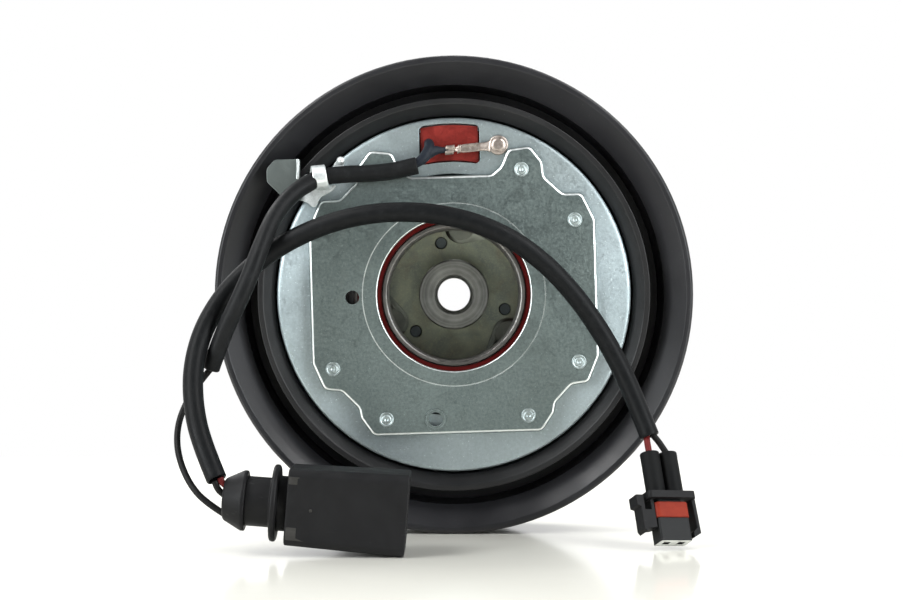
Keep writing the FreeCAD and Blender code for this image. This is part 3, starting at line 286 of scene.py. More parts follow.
class Finish:
    """A material whose colour, roughness and relief come from its nodes."""

    def __init__(self, name, color, roughness=0.5, **sockets):
        self.name = name
        self.material = bpy.data.materials.new(name)
        self.material.use_nodes = True
        self.nodes = self.material.node_tree.nodes
        self.links = self.material.node_tree.links
        self.shader = self.nodes["Principled BSDF"]
        self.place = self.nodes.new("ShaderNodeTexCoord").outputs["Object"]
        self.set(**{"Base Color": color, "Roughness": roughness})
        self.set(**{key.replace("_", " "): value for key, value in sockets.items()})
        self.height = None

    def set(self, **sockets):
        for key, value in sockets.items():
            socket = self.shader.inputs[key]
            if isinstance(value, bpy.types.NodeSocket):
                self.links.new(value, socket)
            elif isinstance(value, tuple) and len(value) == 3:
                socket.default_value = (*value, 1)
            else:
                socket.default_value = value

    def node(self, kind, **inputs):
        """A new shader node of this kind, with its inputs set or linked: i0 is its first input."""
        node = self.nodes.new("ShaderNode" + kind)
        self.feed(node, **inputs)
        return node

    def feed(self, node, **inputs):
        for key, value in inputs.items():
            socket = node.inputs[int(key[1:]) if key[0] == "i" and key[1:].isdigit() else key]
            if isinstance(value, bpy.types.NodeSocket):
                self.links.new(value, socket)
            else:
                socket.default_value = value

    def noise(self, scale, detail=4, roughness=0.6, distortion=0.0, stretch=None, source=None):
        source = source or self.place
        if stretch:
            source = self.node("Mapping", Vector=source, Scale=stretch).outputs["Vector"]
        node = self.node("TexNoise", Vector=source, Scale=scale, Detail=detail)
        self.feed(node, Roughness=roughness, Distortion=distortion)
        return node.outputs["Fac"]

    def math(self, operation, first, second=0.0, clamp=False):
        node = self.node("Math", i0=first, i1=second)
        node.operation = operation
        node.use_clamp = clamp
        return node.outputs[0]

    def span(self, value, low, high, to_low=0.0, to_high=1.0):
        """Maps a range to another, held at both ends."""
        node = self.node("MapRange", **{"Value": value, "From Min": low, "From Max": high})
        self.feed(node, **{"To Min": to_low, "To Max": to_high})
        return node.outputs[0]

    def mix(self, share, first, second):
        node = self.node("Mix")
        node.data_type = "RGBA"
        for index, value in ((6, first), (7, second)):
            if isinstance(value, bpy.types.NodeSocket):
                self.links.new(value, node.inputs[index])
            else:
                node.inputs[index].default_value = (*value, 1)
        if isinstance(share, bpy.types.NodeSocket):
            self.links.new(share, node.inputs[0])
        else:
            node.inputs[0].default_value = share
        return node.outputs[2]

    def axis(self, name):
        return self.node("SeparateXYZ", Vector=self.place).outputs[name]

    def radius(self):
        """Distance from the clutch axis, in metres."""
        square_x = self.math("POWER", self.axis("X"), 2.0)
        square_z = self.math("POWER", self.axis("Z"), 2.0)
        return self.math("SQRT", self.math("ADD", square_x, square_z))

    def spun(self, amount):
        """Draws highlights out across the rings that a lathe left."""
        tangent = self.node("Tangent")
        tangent.direction_type = "RADIAL"
        tangent.axis = "Y"
        self.set(**{"Tangent": tangent.outputs[0], "Anisotropic": amount, "Anisotropic Rotation": 0.25})
        return self

    def lean(self, full, none):
        """1 where the surface leans from the y axis by the first share, 0 from the second on."""
        slope = self.node("SeparateXYZ", Vector=self.node("NewGeometry").outputs["Normal"])
        return self.span(self.math("ABSOLUTE", slope.outputs["Y"]), full, none, 1, 0)

    def lathe(self, scale, detail=3):
        """Noise that changes with radius and with y only, as turning marks do."""
        join = self.node("CombineXYZ", X=self.radius(), Y=self.axis("Y"))
        return self.noise(scale, detail, source=join.outputs[0])

    def scratches(self, turn, scale):
        """Sparse, thin, slightly bent lines along one direction."""
        mapping = self.node("Mapping", Vector=self.place, Rotation=(0, turn, 0), Scale=(1, 1, 14))
        lines = self.noise(scale * 6, 2, 0.5, 0.3, source=mapping.outputs["Vector"])
        patches = self.span(self.noise(scale, 2), 0.56, 0.66)
        thin = self.span(self.math("ABSOLUTE", self.math("SUBTRACT", lines, 0.5)), 0.0, 0.006, 1, 0)
        return self.math("MULTIPLY", thin, patches)

    def bump(self, height, distance, strength=1.0):
        node = self.node("Bump", Height=height, Distance=distance * MM, Strength=strength)
        if self.height:
            self.links.new(self.height, node.inputs["Normal"])
        self.height = node.outputs[0]
        self.links.new(self.height, self.shader.inputs["Normal"])
        return self

    def color(self, value):
        self.set(**{"Base Color": value})
        return self

    def rough(self, value):
        self.set(Roughness=value)
        return self


def zinc(name, dark, light, tint, roughness, marks=0.5, metallic=0.9, lumps=0.0, edge=0.0, ring=None):
    """Zinc plate: fine mottle, faint stains, scattered bright specks and short scratches."""
    finish = Finish(name, dark, roughness, Metallic=metallic)
    clouds = finish.noise(45, 4, 0.6, 0.3)
    mottle = finish.noise(1300, 3, 0.8)
    stains = finish.noise(260, 4, 0.7, 0.8)
    grain = finish.noise(4200, 2, 0.7)
    shade = finish.math("ADD", finish.math("MULTIPLY", clouds, 0.3), finish.math("MULTIPLY", mottle, 0.7))
    base = finish.mix(finish.span(shade, 0.36, 0.64), dark, light)
    base = finish.mix(finish.span(stains, 0.54, 0.72, 0, 0.25), base, tint)
    specks = finish.span(finish.noise(1900, 1, 0.8), 0.70, 0.75, 0, marks)
    bright = tuple(min(1, value * 1.9) for value in light)
    base = finish.mix(specks, base, bright)
    for turn, scale in ((0.5, 42), (2.1, 31)):
        scratch = finish.scratches(turn, scale)
        base = finish.mix(finish.math("MULTIPLY", scratch, 0.4), base, bright)
    # Painted highlight on rolled edges: the colour turns near white where the surface leans a little from the
    # y axis.
    if edge:
        painted_edge_highlight = finish.math("MULTIPLY", finish.lean(0.93, 0.985), finish.lean(1.0, 1.1))
        painted_edge_highlight = finish.math("SUBTRACT", painted_edge_highlight, finish.lean(0.55, 0.72))
        base = finish.mix(finish.math("MULTIPLY", painted_edge_highlight, edge, True), base, (0.9, 0.94, 0.93))
    # Painted highlight: a bright ring between two radii, stronger towards the left (negative x).
    if ring:
        low, high, share = ring
        inside = finish.span(finish.radius(), low - 0.06 * MM, low)
        outside = finish.span(finish.radius(), high, high + 0.06 * MM, 1, 0)
        painted_ring_highlight = finish.math("MULTIPLY", finish.math("MULTIPLY", inside, outside), share)
        painted_ring_highlight = finish.math("MULTIPLY", painted_ring_highlight, finish.span(finish.axis("X"), -0.02, 0.02, 1, 0.45))
        base = finish.mix(painted_ring_highlight, base, (0.85, 0.9, 0.88))
    finish.color(base)
    wear = finish.math("ADD", stains, mottle)
    finish.rough(finish.span(wear, 0.75, 1.25, roughness - 0.1, roughness + 0.12))
    if lumps:
        finish.bump(finish.noise(420, 2, 0.5, 0.8), 0.3 * lumps, 0.8)
    return finish.bump(mottle, 0.035, 0.7).bump(grain, 0.015, 0.6)


def turned(name, dark, light, roughness, metallic=1.0, scale=5000):
    """Machined steel with concentric tool marks."""
    finish = Finish(name, dark, roughness, Metallic=metallic)
    rings = finish.lathe(scale)
    shade = finish.math("ADD", finish.noise(160, 4), finish.lathe(scale / 4))
    finish.color(finish.mix(finish.span(shade, 0.75, 1.25), dark, light))
    finish.rough(finish.span(rings, 0.3, 0.7, roughness - 0.07, roughness + 0.1))
    return finish.spun(0.6).bump(rings, 0.02, 0.7)


def black_paint(name, color, dust, roughness, bumps=1.0):
    """Black paint with orange peel, dust and rubbed patches."""
    finish = Finish(name, color, roughness, Specular_IOR_Level=0.3)
    patches = finish.noise(55, 5, 0.6, 0.4)
    motes = finish.span(finish.noise(1900, 2, 0.8), 0.66, 0.78, 0, 0.5)
    specks = finish.math("MULTIPLY", motes, finish.span(patches, 0.4, 0.65))
    base = finish.mix(finish.span(patches, 0.3, 0.8, 0, 0.35), color, tuple(2.6 * value for value in color))
    finish.color(finish.mix(specks, base, dust))
    finish.rough(finish.span(patches, 0.3, 0.7, roughness - 0.06, roughness + 0.12))
    return finish.bump(finish.noise(900, 3), 0.03 * bumps, 0.5)


def plastic(name, color, roughness, grain=2600, wear=(0.10, 0.10, 0.10)):
    """Moulded plastic: fine spark texture, faint flow marks and scuffs."""
    finish = Finish(name, color, roughness, Specular_IOR_Level=0.11)
    flow = finish.noise(130, 4, 0.6, 0.8)
    scuffs = finish.noise(240, 3, 0.7, 0.3, stretch=(0.6, 3, 3))
    base = finish.mix(finish.span(flow, 0.35, 0.7, 0, 0.4), color, tuple(1.7 * value for value in color))
    finish.color(finish.mix(finish.span(scuffs, 0.66, 0.76, 0, 0.2), base, wear))
    finish.rough(finish.span(flow, 0.3, 0.7, roughness - 0.07, roughness + 0.09))
    return finish.bump(finish.noise(grain, 2), 0.02, 0.5)


def rubber(name, color, roughness, light):
    """Soft rubber with a bloom of dust and fine wrinkles."""
    finish = Finish(name, color, roughness, Specular_IOR_Level=0.08)
    clouds = finish.noise(300, 4, 0.7)
    finish.color(finish.mix(finish.span(clouds, 0.4, 0.75, 0, 0.6), color, light))
    finish.rough(finish.span(clouds, 0.3, 0.7, roughness - 0.05, min(1, roughness + 0.1)))
    return finish.bump(finish.noise(1700, 3), 0.03, 0.4)


def sleeving(name, color, light):
    """Extruded sleeving: satin, with dust."""
    finish = Finish(name, color, 0.42, Specular_IOR_Level=0.11)
    dust = finish.noise(520, 4, 0.75)
    finish.color(finish.mix(finish.span(dust, 0.5, 0.8, 0, 0.55), color, light))
    finish.rough(finish.span(dust, 0.3, 0.7, 0.36, 0.56))
    return finish.bump(finish.noise(1400, 3), 0.03, 0.4)


def resin(name):
    """Red casting resin: cloudy, grainy and faintly wet."""
    finish = Finish(name, (0.2, 0.02, 0.015), 0.3, Specular_IOR_Level=0.25)
    finish.set(**{"Coat Weight": 0.08, "Coat Roughness": 0.25})
    clouds = finish.noise(260, 4, 0.6, 0.8)
    grain = finish.noise(1500, 3, 0.8)
    base = finish.mix(finish.span(clouds, 0.35, 0.7), (0.105, 0.009, 0.007), (0.205, 0.017, 0.012))
    finish.color(finish.mix(finish.span(grain, 0.64, 0.76, 0, 0.5), base, (0.42, 0.12, 0.09)))
    finish.rough(finish.span(clouds, 0.3, 0.7, 0.25, 0.5))
    return finish.bump(clouds, 0.25, 0.6).bump(grain, 0.04, 0.6)


def chromate(name):
    """Yellow passivated zinc: olive, brown and green films over bright metal."""
    finish = Finish(name, (0.3, 0.32, 0.26), 0.42, Metallic=0.85)
    clouds = finish.noise(60, 3, 0.6, 1.5)
    films = finish.noise(150, 4, 0.6, 0.8)
    grain = finish.noise(2300, 3, 0.85)
    base = finish.mix(finish.span(clouds, 0.35, 0.65), (0.27, 0.31, 0.27), (0.44, 0.48, 0.36))
    base = finish.mix(finish.span(films, 0.5, 0.72, 0, 0.45), base, (0.33, 0.29, 0.22))
    base = finish.mix(finish.span(grain, 0.5, 0.75, 0, 0.6), base, (0.62, 0.66, 0.42))
    # Painted shade: the floors of the flange's dimples, between y 37.0 and 38.6 mm, are darkened.
    past_rear_face = finish.span(finish.axis("Y"), 0.0370, 0.0372)
    before_front_face = finish.span(finish.axis("Y"), 0.0384, 0.0386, 1, 0)
    painted_dimple_shade = finish.math("MULTIPLY", past_rear_face, before_front_face)
    finish.color(finish.mix(painted_dimple_shade, base, (0.13, 0.155, 0.16)))
    finish.rough(finish.span(films, 0.3, 0.7, 0.34, 0.5))
    return finish.spun(0.5).bump(grain, 0.03, 0.6)


def copper(name):
    """Enamelled wire, wound in even turns along the bobbin."""
    finish = Finish(name, (0.5, 0.2, 0.08), 0.35, Metallic=0.9)
    wave = finish.node("TexWave", Vector=finish.place, Scale=360, Distortion=0.4)
    wave.bands_direction = "Y"
    finish.color(finish.mix(wave.outputs["Fac"], (0.32, 0.11, 0.04), (0.62, 0.27, 0.1)))
    return finish.bump(wave.outputs["Fac"], 0.15, 0.8)


def clamp_zinc(name, edge=0.0):
    # Painted highlight: these tones are raised well above the plate's to stand for the light on the clamp's
    # finger and foot.
    tones = (0.50, 0.54, 0.54), (0.74, 0.78, 0.78), (0.58, 0.62, 0.61)
    return zinc(name, *tones, 0.38, metallic=0.6, lumps=0.25, edge=edge)


def clamp_sheet():
    """Bright zinc with painted shade on its wide tab: the tab is darkened left of about x = -39 mm."""
    finish = clamp_zinc("clamp_sheet")
    painted_tab_shade = finish.span(finish.axis("X"), -0.0397, -0.0385, 1, 0)
    bright = finish.shader.inputs["Base Color"].links[0].from_socket
    return finish.color(finish.mix(painted_tab_shade, bright, (0.13, 0.15, 0.145)))


# Dark, light and stained tones, and the painted highlight ring on the step round the plate's bore: radii in
# metres, then strength.
PLATE_TONES = (0.135, 0.170, 0.167), (0.215, 0.262, 0.256), (0.178, 0.198, 0.178)
PLATE_PAINTED_RING = (0.02375, 0.02392, 0.75)
HOUSING_TONES = (0.355, 0.42, 0.435), (0.47, 0.545, 0.57), (0.40, 0.45, 0.45)

FINISH_LIST = [
    # Painted highlights on the plate's rolled edges and on the ring round its bore.
    zinc("plate_zinc", *PLATE_TONES, 0.40, edge=1.0, ring=PLATE_PAINTED_RING),
    zinc("housing_zinc", *HOUSING_TONES, 0.44).spun(0.75),
    zinc("bright_zinc", (0.40, 0.43, 0.43), (0.72, 0.74, 0.76), (0.55, 0.58, 0.58), 0.34),
    # Painted highlight: the clamp's light tones, and with edge 0.7 its rounded edges.
    clamp_zinc("clamp_zinc", 0.7),
    # Painted shade darkens the clamp sheet's wide tab.
    clamp_sheet(),
    # Painted highlight on the collar lip's rounded edge.
    zinc("lip_zinc", (0.30, 0.35, 0.35), (0.44, 0.50, 0.50), (0.34, 0.39, 0.39), 0.34, edge=1.0),
    zinc("weld_zinc", (0.28, 0.33, 0.33), (0.42, 0.48, 0.48), (0.34, 0.39, 0.39), 0.42),
    zinc("tin", (0.30, 0.25, 0.22), (0.48, 0.42, 0.38), (0.38, 0.33, 0.29), 0.36, marks=0.3),
    turned("ground_steel", (0.15, 0.145, 0.14), (0.29, 0.28, 0.265), 0.38),
    turned("boss_steel", (0.19, 0.195, 0.185), (0.36, 0.37, 0.35), 0.36),
    turned("friction_steel", (0.20, 0.18, 0.14), (0.36, 0.33, 0.26), 0.4, scale=2500),
    turned("spring_steel", (0.18, 0.20, 0.18), (0.32, 0.34, 0.29), 0.42, scale=900),
    turned("dark_steel", (0.03, 0.03, 0.032), (0.08, 0.08, 0.08), 0.45, metallic=0.7),
    black_paint("rotor_black", (0.010, 0.010, 0.0105), (0.12, 0.12, 0.12), 0.36),
    black_paint("rim_black", (0.012, 0.012, 0.0135), (0.10, 0.10, 0.10), 0.34, 1.3),
    chromate("chromate"),
    resin("resin"),
    copper("copper"),
    plastic("bobbin", (0.02, 0.02, 0.02), 0.5),
    plastic("cage", (0.42, 0.34, 0.20), 0.45),
    plastic("plug_black", (0.010, 0.010, 0.0105), 0.44),
    plastic("cap_black", (0.008, 0.008, 0.0085), 0.5, grain=1800),
    rubber("boot_black", (0.005, 0.0053, 0.0056), 0.55, (0.011, 0.0115, 0.0115)),
    plastic("collar_black", (0.009, 0.009, 0.0095), 0.48),
    plastic("nose_black", (0.014, 0.0145, 0.015), 0.45),
    # Painted light: the light grey of the small plug's end face stands for the floor's light on it.
    plastic("nose_end_painted_light", (0.62, 0.63, 0.61), 0.5, wear=(0.8, 0.8, 0.8)),
    rubber("seal_red", (0.19, 0.022, 0.012), 0.5, (0.27, 0.040, 0.022)),
    rubber("bearing_red", (0.10, 0.007, 0.007), 0.5, (0.15, 0.015, 0.013)),
    rubber("stop_rubber", (0.012, 0.012, 0.012), 0.6, (0.03, 0.03, 0.03)),
    rubber("wire_seal", (0.09, 0.03, 0.02), 0.6, (0.12, 0.05, 0.03)),
    sleeving("sleeve_black", (0.008, 0.0085, 0.009), (0.022, 0.023, 0.025)),
    sleeving("harness_black", (0.005, 0.0055, 0.006), (0.013, 0.0138, 0.0145)),
    sleeving("shrink_black", (0.012, 0.015, 0.021), (0.03, 0.036, 0.045)),
    plastic("mark_black", (0.030, 0.029, 0.027), 0.48),
    sleeving("wire_black", (0.010, 0.010, 0.010), (0.026, 0.026, 0.026)),
    sleeving("wire_red", (0.11, 0.012, 0.012), (0.17, 0.03, 0.03)),
]
FINISHES = {finish.name: finish for finish in FINISH_LIST}

NODE_FINISHES = {
    "plate_zinc": ["coil_plate"],
    "housing_zinc": ["coil_housing"],
    "bright_zinc": ["armature_rivets"],
    "clamp_zinc": ["wire_clamp"],
    "weld_zinc": ["plate_welds"],
    "tin": ["ground_terminal", "plug_terminals", "small_plug_contacts"],
    "ground_steel": ["bearing_inner_ring", "bearing_outer_ring", "bearing_balls"],
    "boss_steel": ["hub"],
    "friction_steel": ["armature_plate"],
    "spring_steel": ["leaf_springs", "hub_rivets"],
    "dark_steel": ["bearing_snap_ring"],
    "rotor_black": ["rotor"],
    "rim_black": ["pulley_rim"],
    "chromate": ["hub_flange"],
    "resin": ["coil_resin"],
    "copper": ["coil_winding"],
    "bobbin": ["coil_bobbin"],
    "cage": ["bearing_cage_rear", "bearing_cage_front"],
    "plug_black": ["plug_housing", "plug_shroud"],
    "cap_black": ["plug_rear_cap"],
    "boot_black": ["small_plug_boots"],
    "collar_black": ["small_plug_collar"],
    "nose_black": ["small_plug_body"],
    "seal_red": ["small_plug_seal"],
    "bearing_red": ["bearing_seal_rear", "bearing_seal_front"],
    "stop_rubber": ["rubber_stops"],
    "wire_seal": ["plug_wire_seal"],
    "wire_black": ["coil_lead_wire", "ground_wire", "plug_black_wire", "sensor_black_wire", "lead_wire"],
    "wire_red": ["plug_red_wire", "sensor_red_wire"],
    "sleeve_black": ["lead_sleeve"],
    "harness_black": ["harness_sleeve"],
}


def coat(piece, *names):
    """Gives a piece its finishes, in place of what it had."""
    if piece.data.materials:
        piece.data.materials.clear()
    for name in names:
        piece.data.materials.append(FINISHES[name].material)


for finish_name, members in NODE_FINISHES.items():
    for member in members:
        coat(frame["nodes"][member], finish_name)
coat(lead_sleeve, "sleeve_black")
coat(harness, "harness_black")
coat(lead_wire, "wire_black")

# ------------------------------ pieces with broken edges


SHARP = math.radians(32)


def body_of(node):
    bodies = frame["record"]["behaviour"]["bodies"]
    return next(body for body, members in bodies.items() if node in members)


def finish_of(node):
    return next(finish for finish, members in NODE_FINISHES.items() if node in members)


def baked(name, mesh, bevel, segments=2):
    """The mesh with its sharp edges rounded, smooth shaded."""
    piece = bpy.data.objects.new(name, mesh)
    bpy.context.scene.collection.objects.link(piece)
    edges = piece.modifiers.new("edges", "BEVEL")
    edges.width = bevel * MM
    edges.segments = segments
    edges.limit_method = "ANGLE"
    edges.angle_limit = SHARP
    edges.harden_normals = True
    bpy.context.view_layer.update()
    shaped = bpy.data.meshes.new_from_object(piece.evaluated_get(bpy.context.evaluated_depsgraph_get()))
    bpy.data.objects.remove(piece)
    shaped.name = name
    shaped.shade_smooth()
    return shaped


def weighted(piece):
    """Lets the wide faces of a piece set its shading, so that flats look flat."""
    smooth = piece.modifiers.new("weights", "WEIGHTED_NORMAL")
    smooth.keep_sharp = True
    return piece


def cleaned(node):
    """A copy of the CAD node's mesh with its points welded and its flats whole."""
    work = bmesh.new()
    work.from_mesh(frame["nodes"][node].data)
    bmesh.ops.remove_doubles(work, verts=work.verts, dist=2e-6)
    bmesh.ops.dissolve_limit(work, angle_limit=math.radians(1.5), verts=work.verts, edges=work.edges)
    return work


def softened(node, width, finish, work=None):
    """The CAD node's own shape with its sharp edges rounded, which stands for it."""
    name = node + "_edged"
    work = work or cleaned(node)
    mesh = bpy.data.meshes.new(name)
    work.to_mesh(mesh)
    work.free()
    result = link(name, baked(name, mesh, width), body_of(node), [node])
    coat(result, finish)
    return weighted(result)


def rolled(work, width, segments, wanted):
    """Rounds the sharp edges whose two ends are wanted."""
    edges = [
        edge
        for edge in work.edges
        if edge.calc_face_angle(0) > 0.6 and all(wanted(vertex.co / MM) for vertex in edge.verts)
    ]
    bmesh.ops.bevel(
        work,
        geom=edges,
        offset=width * MM,
        offset_type="OFFSET",
        segments=segments,
        profile=0.5,
        affect="EDGES",
        clamp_overlap=False,
    )


WELD_CIRCLE = 37
WELD_SPREAD = 15
WELD_TURN = -1.7
PLATE_BORE = 20
PLATE_MIDDLE = 29.5
COLLAR_PLACE = Vector((-4.74, 0, -32.45))
WELD_PLACES = []
for quarter in range(4):
    for side in (-1, 1):
        angle = math.radians(45 + 90 * quarter + WELD_SPREAD * side + WELD_TURN)
        WELD_PLACES.append((WELD_CIRCLE * math.sin(angle), 0, WELD_CIRCLE * math.cos(angle)))


def on_plate_outline(place):
    """True on the plate's rear face, at its outline, and not at a weld or the lower hole."""
    clear_of_welds = all((place - Vector(spot)).length > 2.4 for spot in WELD_PLACES)
    clear_of_collar = (place - COLLAR_PLACE).length > 3.4
    return abs(place.y) < 0.02 and place.length > PLATE_MIDDLE and clear_of_welds and clear_of_collar


def on_plate_bore(place):
    return abs(place.y) < 0.02 and abs(place.length - PLATE_BORE) < 0.1


plate = cleaned("coil_plate")
rolled(plate, 0.95, 6, on_plate_outline)
rolled(plate, 0.4, 4, on_plate_bore)
softened("coil_plate", 0.1, "plate_zinc", plate)
edged = {}
for member, width in (
    ("coil_housing", 0.25),
    ("bearing_inner_ring", 0.25),
    ("rotor", 0.3),
    ("pulley_rim", 0.25),
    ("hub", 0.2),
    ("hub_flange", 0.3),
    ("armature_plate", 0.3),
    ("plug_rear_cap", 0.35),
    ("small_plug_boots", 0.3),
    ("small_plug_collar", 0.25),
    ("small_plug_seal", 0.3),
    ("small_plug_body", 0.2),
):
    edged[member] = softened(member, width, finish_of(member))

# The small plug's end face is painted light grey as painted light, standing for the floor's light on it. The
# line points out of its nose.
nose = edged["small_plug_body"].data
nose.materials.append(FINISHES["nose_end_painted_light"].material)
nose_line = Vector((0.116, -0.407, -0.906))
nose_end = max(vertex.co.dot(nose_line) for vertex in nose.vertices)
for face in nose.polygons:
    if face.normal.dot(nose_line) > 0.97 and face.center.dot(nose_line) > nose_end - 0.5 * MM:
        face.material_index = 1

# ------------------------------ hand-built pieces


def turned_shape(name, profile, centre, turns=40, capped=True):
    """A closed shape turned about a line along y: profile is (radius, depth) from the middle out."""
    rings = []
    for radius, depth in profile:
        reach = max(radius, 0.01)
        ring = []
        for angle in turn_angles(turns):
            x, z = centre[0] + reach * math.sin(angle), centre[2] + reach * math.cos(angle)
            ring.append(Vector((x, centre[1] + depth, z)) * MM)
        rings.append(ring)
    return rings_mesh(name, rings, capped)


def joined(name, meshes):
    """One mesh made of several, each already where it belongs."""
    work = bmesh.new()
    for mesh in meshes:
        work.from_mesh(mesh)
        bpy.data.meshes.remove(mesh)
    bmesh.ops.remove_doubles(work, verts=work.verts, dist=1e-6)
    bmesh.ops.recalc_face_normals(work, faces=work.faces)
    result = bpy.data.meshes.new(name)
    work.to_mesh(result)
    work.free()
    result.shade_smooth()
    return result


def slab(name, outline, rear, front, lift=None):
    """A closed flat shape between two depths: outline is (x, z) points in order."""
    count = len(outline)
    lift = lift or (lambda x, z: 0)
    points = [Vector((x, rear + lift(x, z), z)) * MM for x, z in outline]
    points += [Vector((x, front + lift(x, z), z)) * MM for x, z in outline]
    faces = [tuple(range(count)), tuple(reversed(range(count, 2 * count)))]
    for turn in range(count):
        after = (turn + 1) % count
        faces.append((after, turn, turn + count, after + count))
    mesh = bpy.data.meshes.new(name)
    mesh.from_pydata(points, [], faces)
    mesh.update()
    return mesh


def rounded(outline, reach=0.8, steps=4):
    """The outline with each corner turned into a short arc."""
    result = []
    count = len(outline)
    for index in range(count):
        before, corner, after = (Vector(outline[(index + shift) % count]) for shift in (-1, 0, 1))
        start = corner + (before - corner).normalized() * min(reach, (before - corner).length * 0.45)
        end = corner + (after - corner).normalized() * min(reach, (after - corner).length * 0.45)
        for step in range(steps + 1):
            share = step / steps
            first, second = start.lerp(corner, share), corner.lerp(end, share)
            result.append(tuple(first.lerp(second, share)))
    return result


def rounded_box(half_width, half_height, corner, steps=7):
    """The outline of a box with round corners, as (x, y) points."""
    outline = []
    for side_x, side_y, start in ((1, 1, 0), (-1, 1, 90), (-1, -1, 180), (1, -1, 270)):
        for step in range(steps):
            angle = math.radians(start + 90 * step / (steps - 1))
            x = side_x * (half_width - corner) + corner * math.cos(angle)
            outline.append((x, side_y * (half_height - corner) + corner * math.sin(angle)))
    return outline


def strip_along(name, centres, outs, across, width, thickness, corner):
    """A flat strip swept along points, rounded at its edges: outs are its outward directions."""
    rings = []
    section = rounded_box(width / 2, thickness / 2, corner, 4)
    for centre, out in zip(centres, outs):
        rings.append([(Vector(centre) + Vector(across) * x + Vector(out) * y) * MM for x, y in section])
    return rings_mesh(name, rings)


# Eight clinched buttons: a flat rim, a sunk ring and a button with a dimple.
WELD_PROFILE = [
    (0, 0.02), (0.22, 0.0), (0.42, -0.16), (0.6, -0.27), (0.95, -0.27), (1.1, -0.2), (1.22, -0.06),
    (1.38, -0.08), (1.52, -0.24), (1.72, -0.28), (1.88, -0.2), (1.97, 0.05), (1.55, 0.1), (1.55, 3.4),
    (0, 3.4),
]
welds = [turned_shape("weld", WELD_PROFILE, place) for place in WELD_PLACES]
welds = joined("plate_weld_buttons", welds)
plate_welds = link("plate_weld_buttons", welds, "coil_side", ["plate_welds"])
coat(plate_welds, "weld_zinc")

# The raised collar round the plate's lower hole: radii and depths, outwards from the hole.
COLLAR_PROFILE = [
    (1.8, 0.4), (1.84, 0.05), (1.95, -0.12), (2.1, -0.14), (2.25, -0.3), (2.45, -0.36), (2.65, -0.28),
    (2.82, 0.05), (2.6, 0.4), (1.8, 0.4),
]
collar_mesh = turned_shape("plate_collar_lip", COLLAR_PROFILE, COLLAR_PLACE, capped=False)
plate_collar = link("plate_collar_lip", joined("plate_collar_lip", [collar_mesh]), "coil_side")
coat(plate_collar, "lip_zinc")

# The clamp: a flat sheet with a bent-up edge on its tab, and a finger curled over the sleeve.
CLAMP_EDGE = [
    (-40.0, 35.2), (-46.6, 35.0), (-48.7, 32.6), (-48.6, 29.2), (-44.8, 25.6), (-40.2, 24.5),
    (-38.1, 23.9), (-36.7, 22.6), (-35.8, 22.9), (-34.8, 25.2), (-31.6, 26.9), (-30.4, 28.5),
    (-32.6, 28.3), (-33.4, 29.6), (-33.0, 31.6), (-38.6, 31.2), (-40.0, 29.8),
]


def marked(mesh, index):
    """Gives the whole mesh one material slot."""
    for face in mesh.polygons:
        face.material_index = index
    return mesh


def clamp_finger():
    """A strip curled round the lead sleeve, which drifts along it as it goes round."""
    steps, first_angle, sweep = 24, -118, 258
    radius, swell, drift = 2.62, 0.2, 2.1
    centres, outs = [], []
    for step in range(steps + 1):
        angle = math.radians(first_angle + sweep * step / steps)
        out = Vector((0, -math.cos(angle), math.sin(angle)))
        reach = radius + swell * math.sin(math.pi * step / steps)
        centres.append(Vector((-33.5 - drift * step / steps, -3.6, 30.2)) + out * reach)
        outs.append(out)
    return strip_along("clamp_finger", centres, outs, (1, 0, 0.1), width=3.6, thickness=0.95, corner=0.3)


sheet_part = baked("clamp_sheet", slab("clamp_sheet", rounded(CLAMP_EDGE, 0.7), -1.2, -0.05), 0.22, 3)
TAB_RIM = [(-40.1, 35.1), (-40.9, 35.1), (-40.75, 33.0), (-40.9, 29.9), (-40.2, 29.9)]
rim_part = baked("clamp_rim", slab("clamp_rim", rounded(TAB_RIM, 0.3), -2.1, -0.6), 0.2, 3)
BEAD_PROFILE = [(0, -1.9), (0.5, -1.8), (0.95, -1.35), (1.15, -0.8), (1.1, -0.2), (0.6, -0.02), (0, -0.02)]
bead_part = turned_shape("clamp_bead", BEAD_PROFILE, (-29.4, 0, 34.7))
LUG_EDGE = [(-31.6, 31.0), (-31.2, 33.8), (-30.2, 35.2), (-28.7, 35.0), (-28.6, 33.6), (-29.8, 31.4)]
lug_part = baked("clamp_lug", slab("clamp_lug", rounded(LUG_EDGE, 0.5), -0.9, -0.05), 0.18, 2)
finger_part = clamp_finger()
clamp = link(
    "wire_clamp_bent",
    joined("wire_clamp_bent", [marked(sheet_part, 1), rim_part, bead_part, lug_part, finger_part]),
    "coil_side",
    ["wire_clamp"],
)
coat(clamp, "clamp_zinc", "clamp_sheet")
weighted(clamp)

# The ground terminal: a dimpled pad, a waisted strip and a crimped barrel with its seam to the front.
TILT = math.radians(5.8)
PAD_X, PAD_Z = 11.6, 39.0


def terminal_place(along, depth, up):
    """A point of the terminal: along runs left from the pad's middle."""
    x = PAD_X - along * math.cos(TILT) + up * math.sin(TILT)
    return (x, depth, PAD_Z + up * math.cos(TILT) - along * math.sin(TILT))


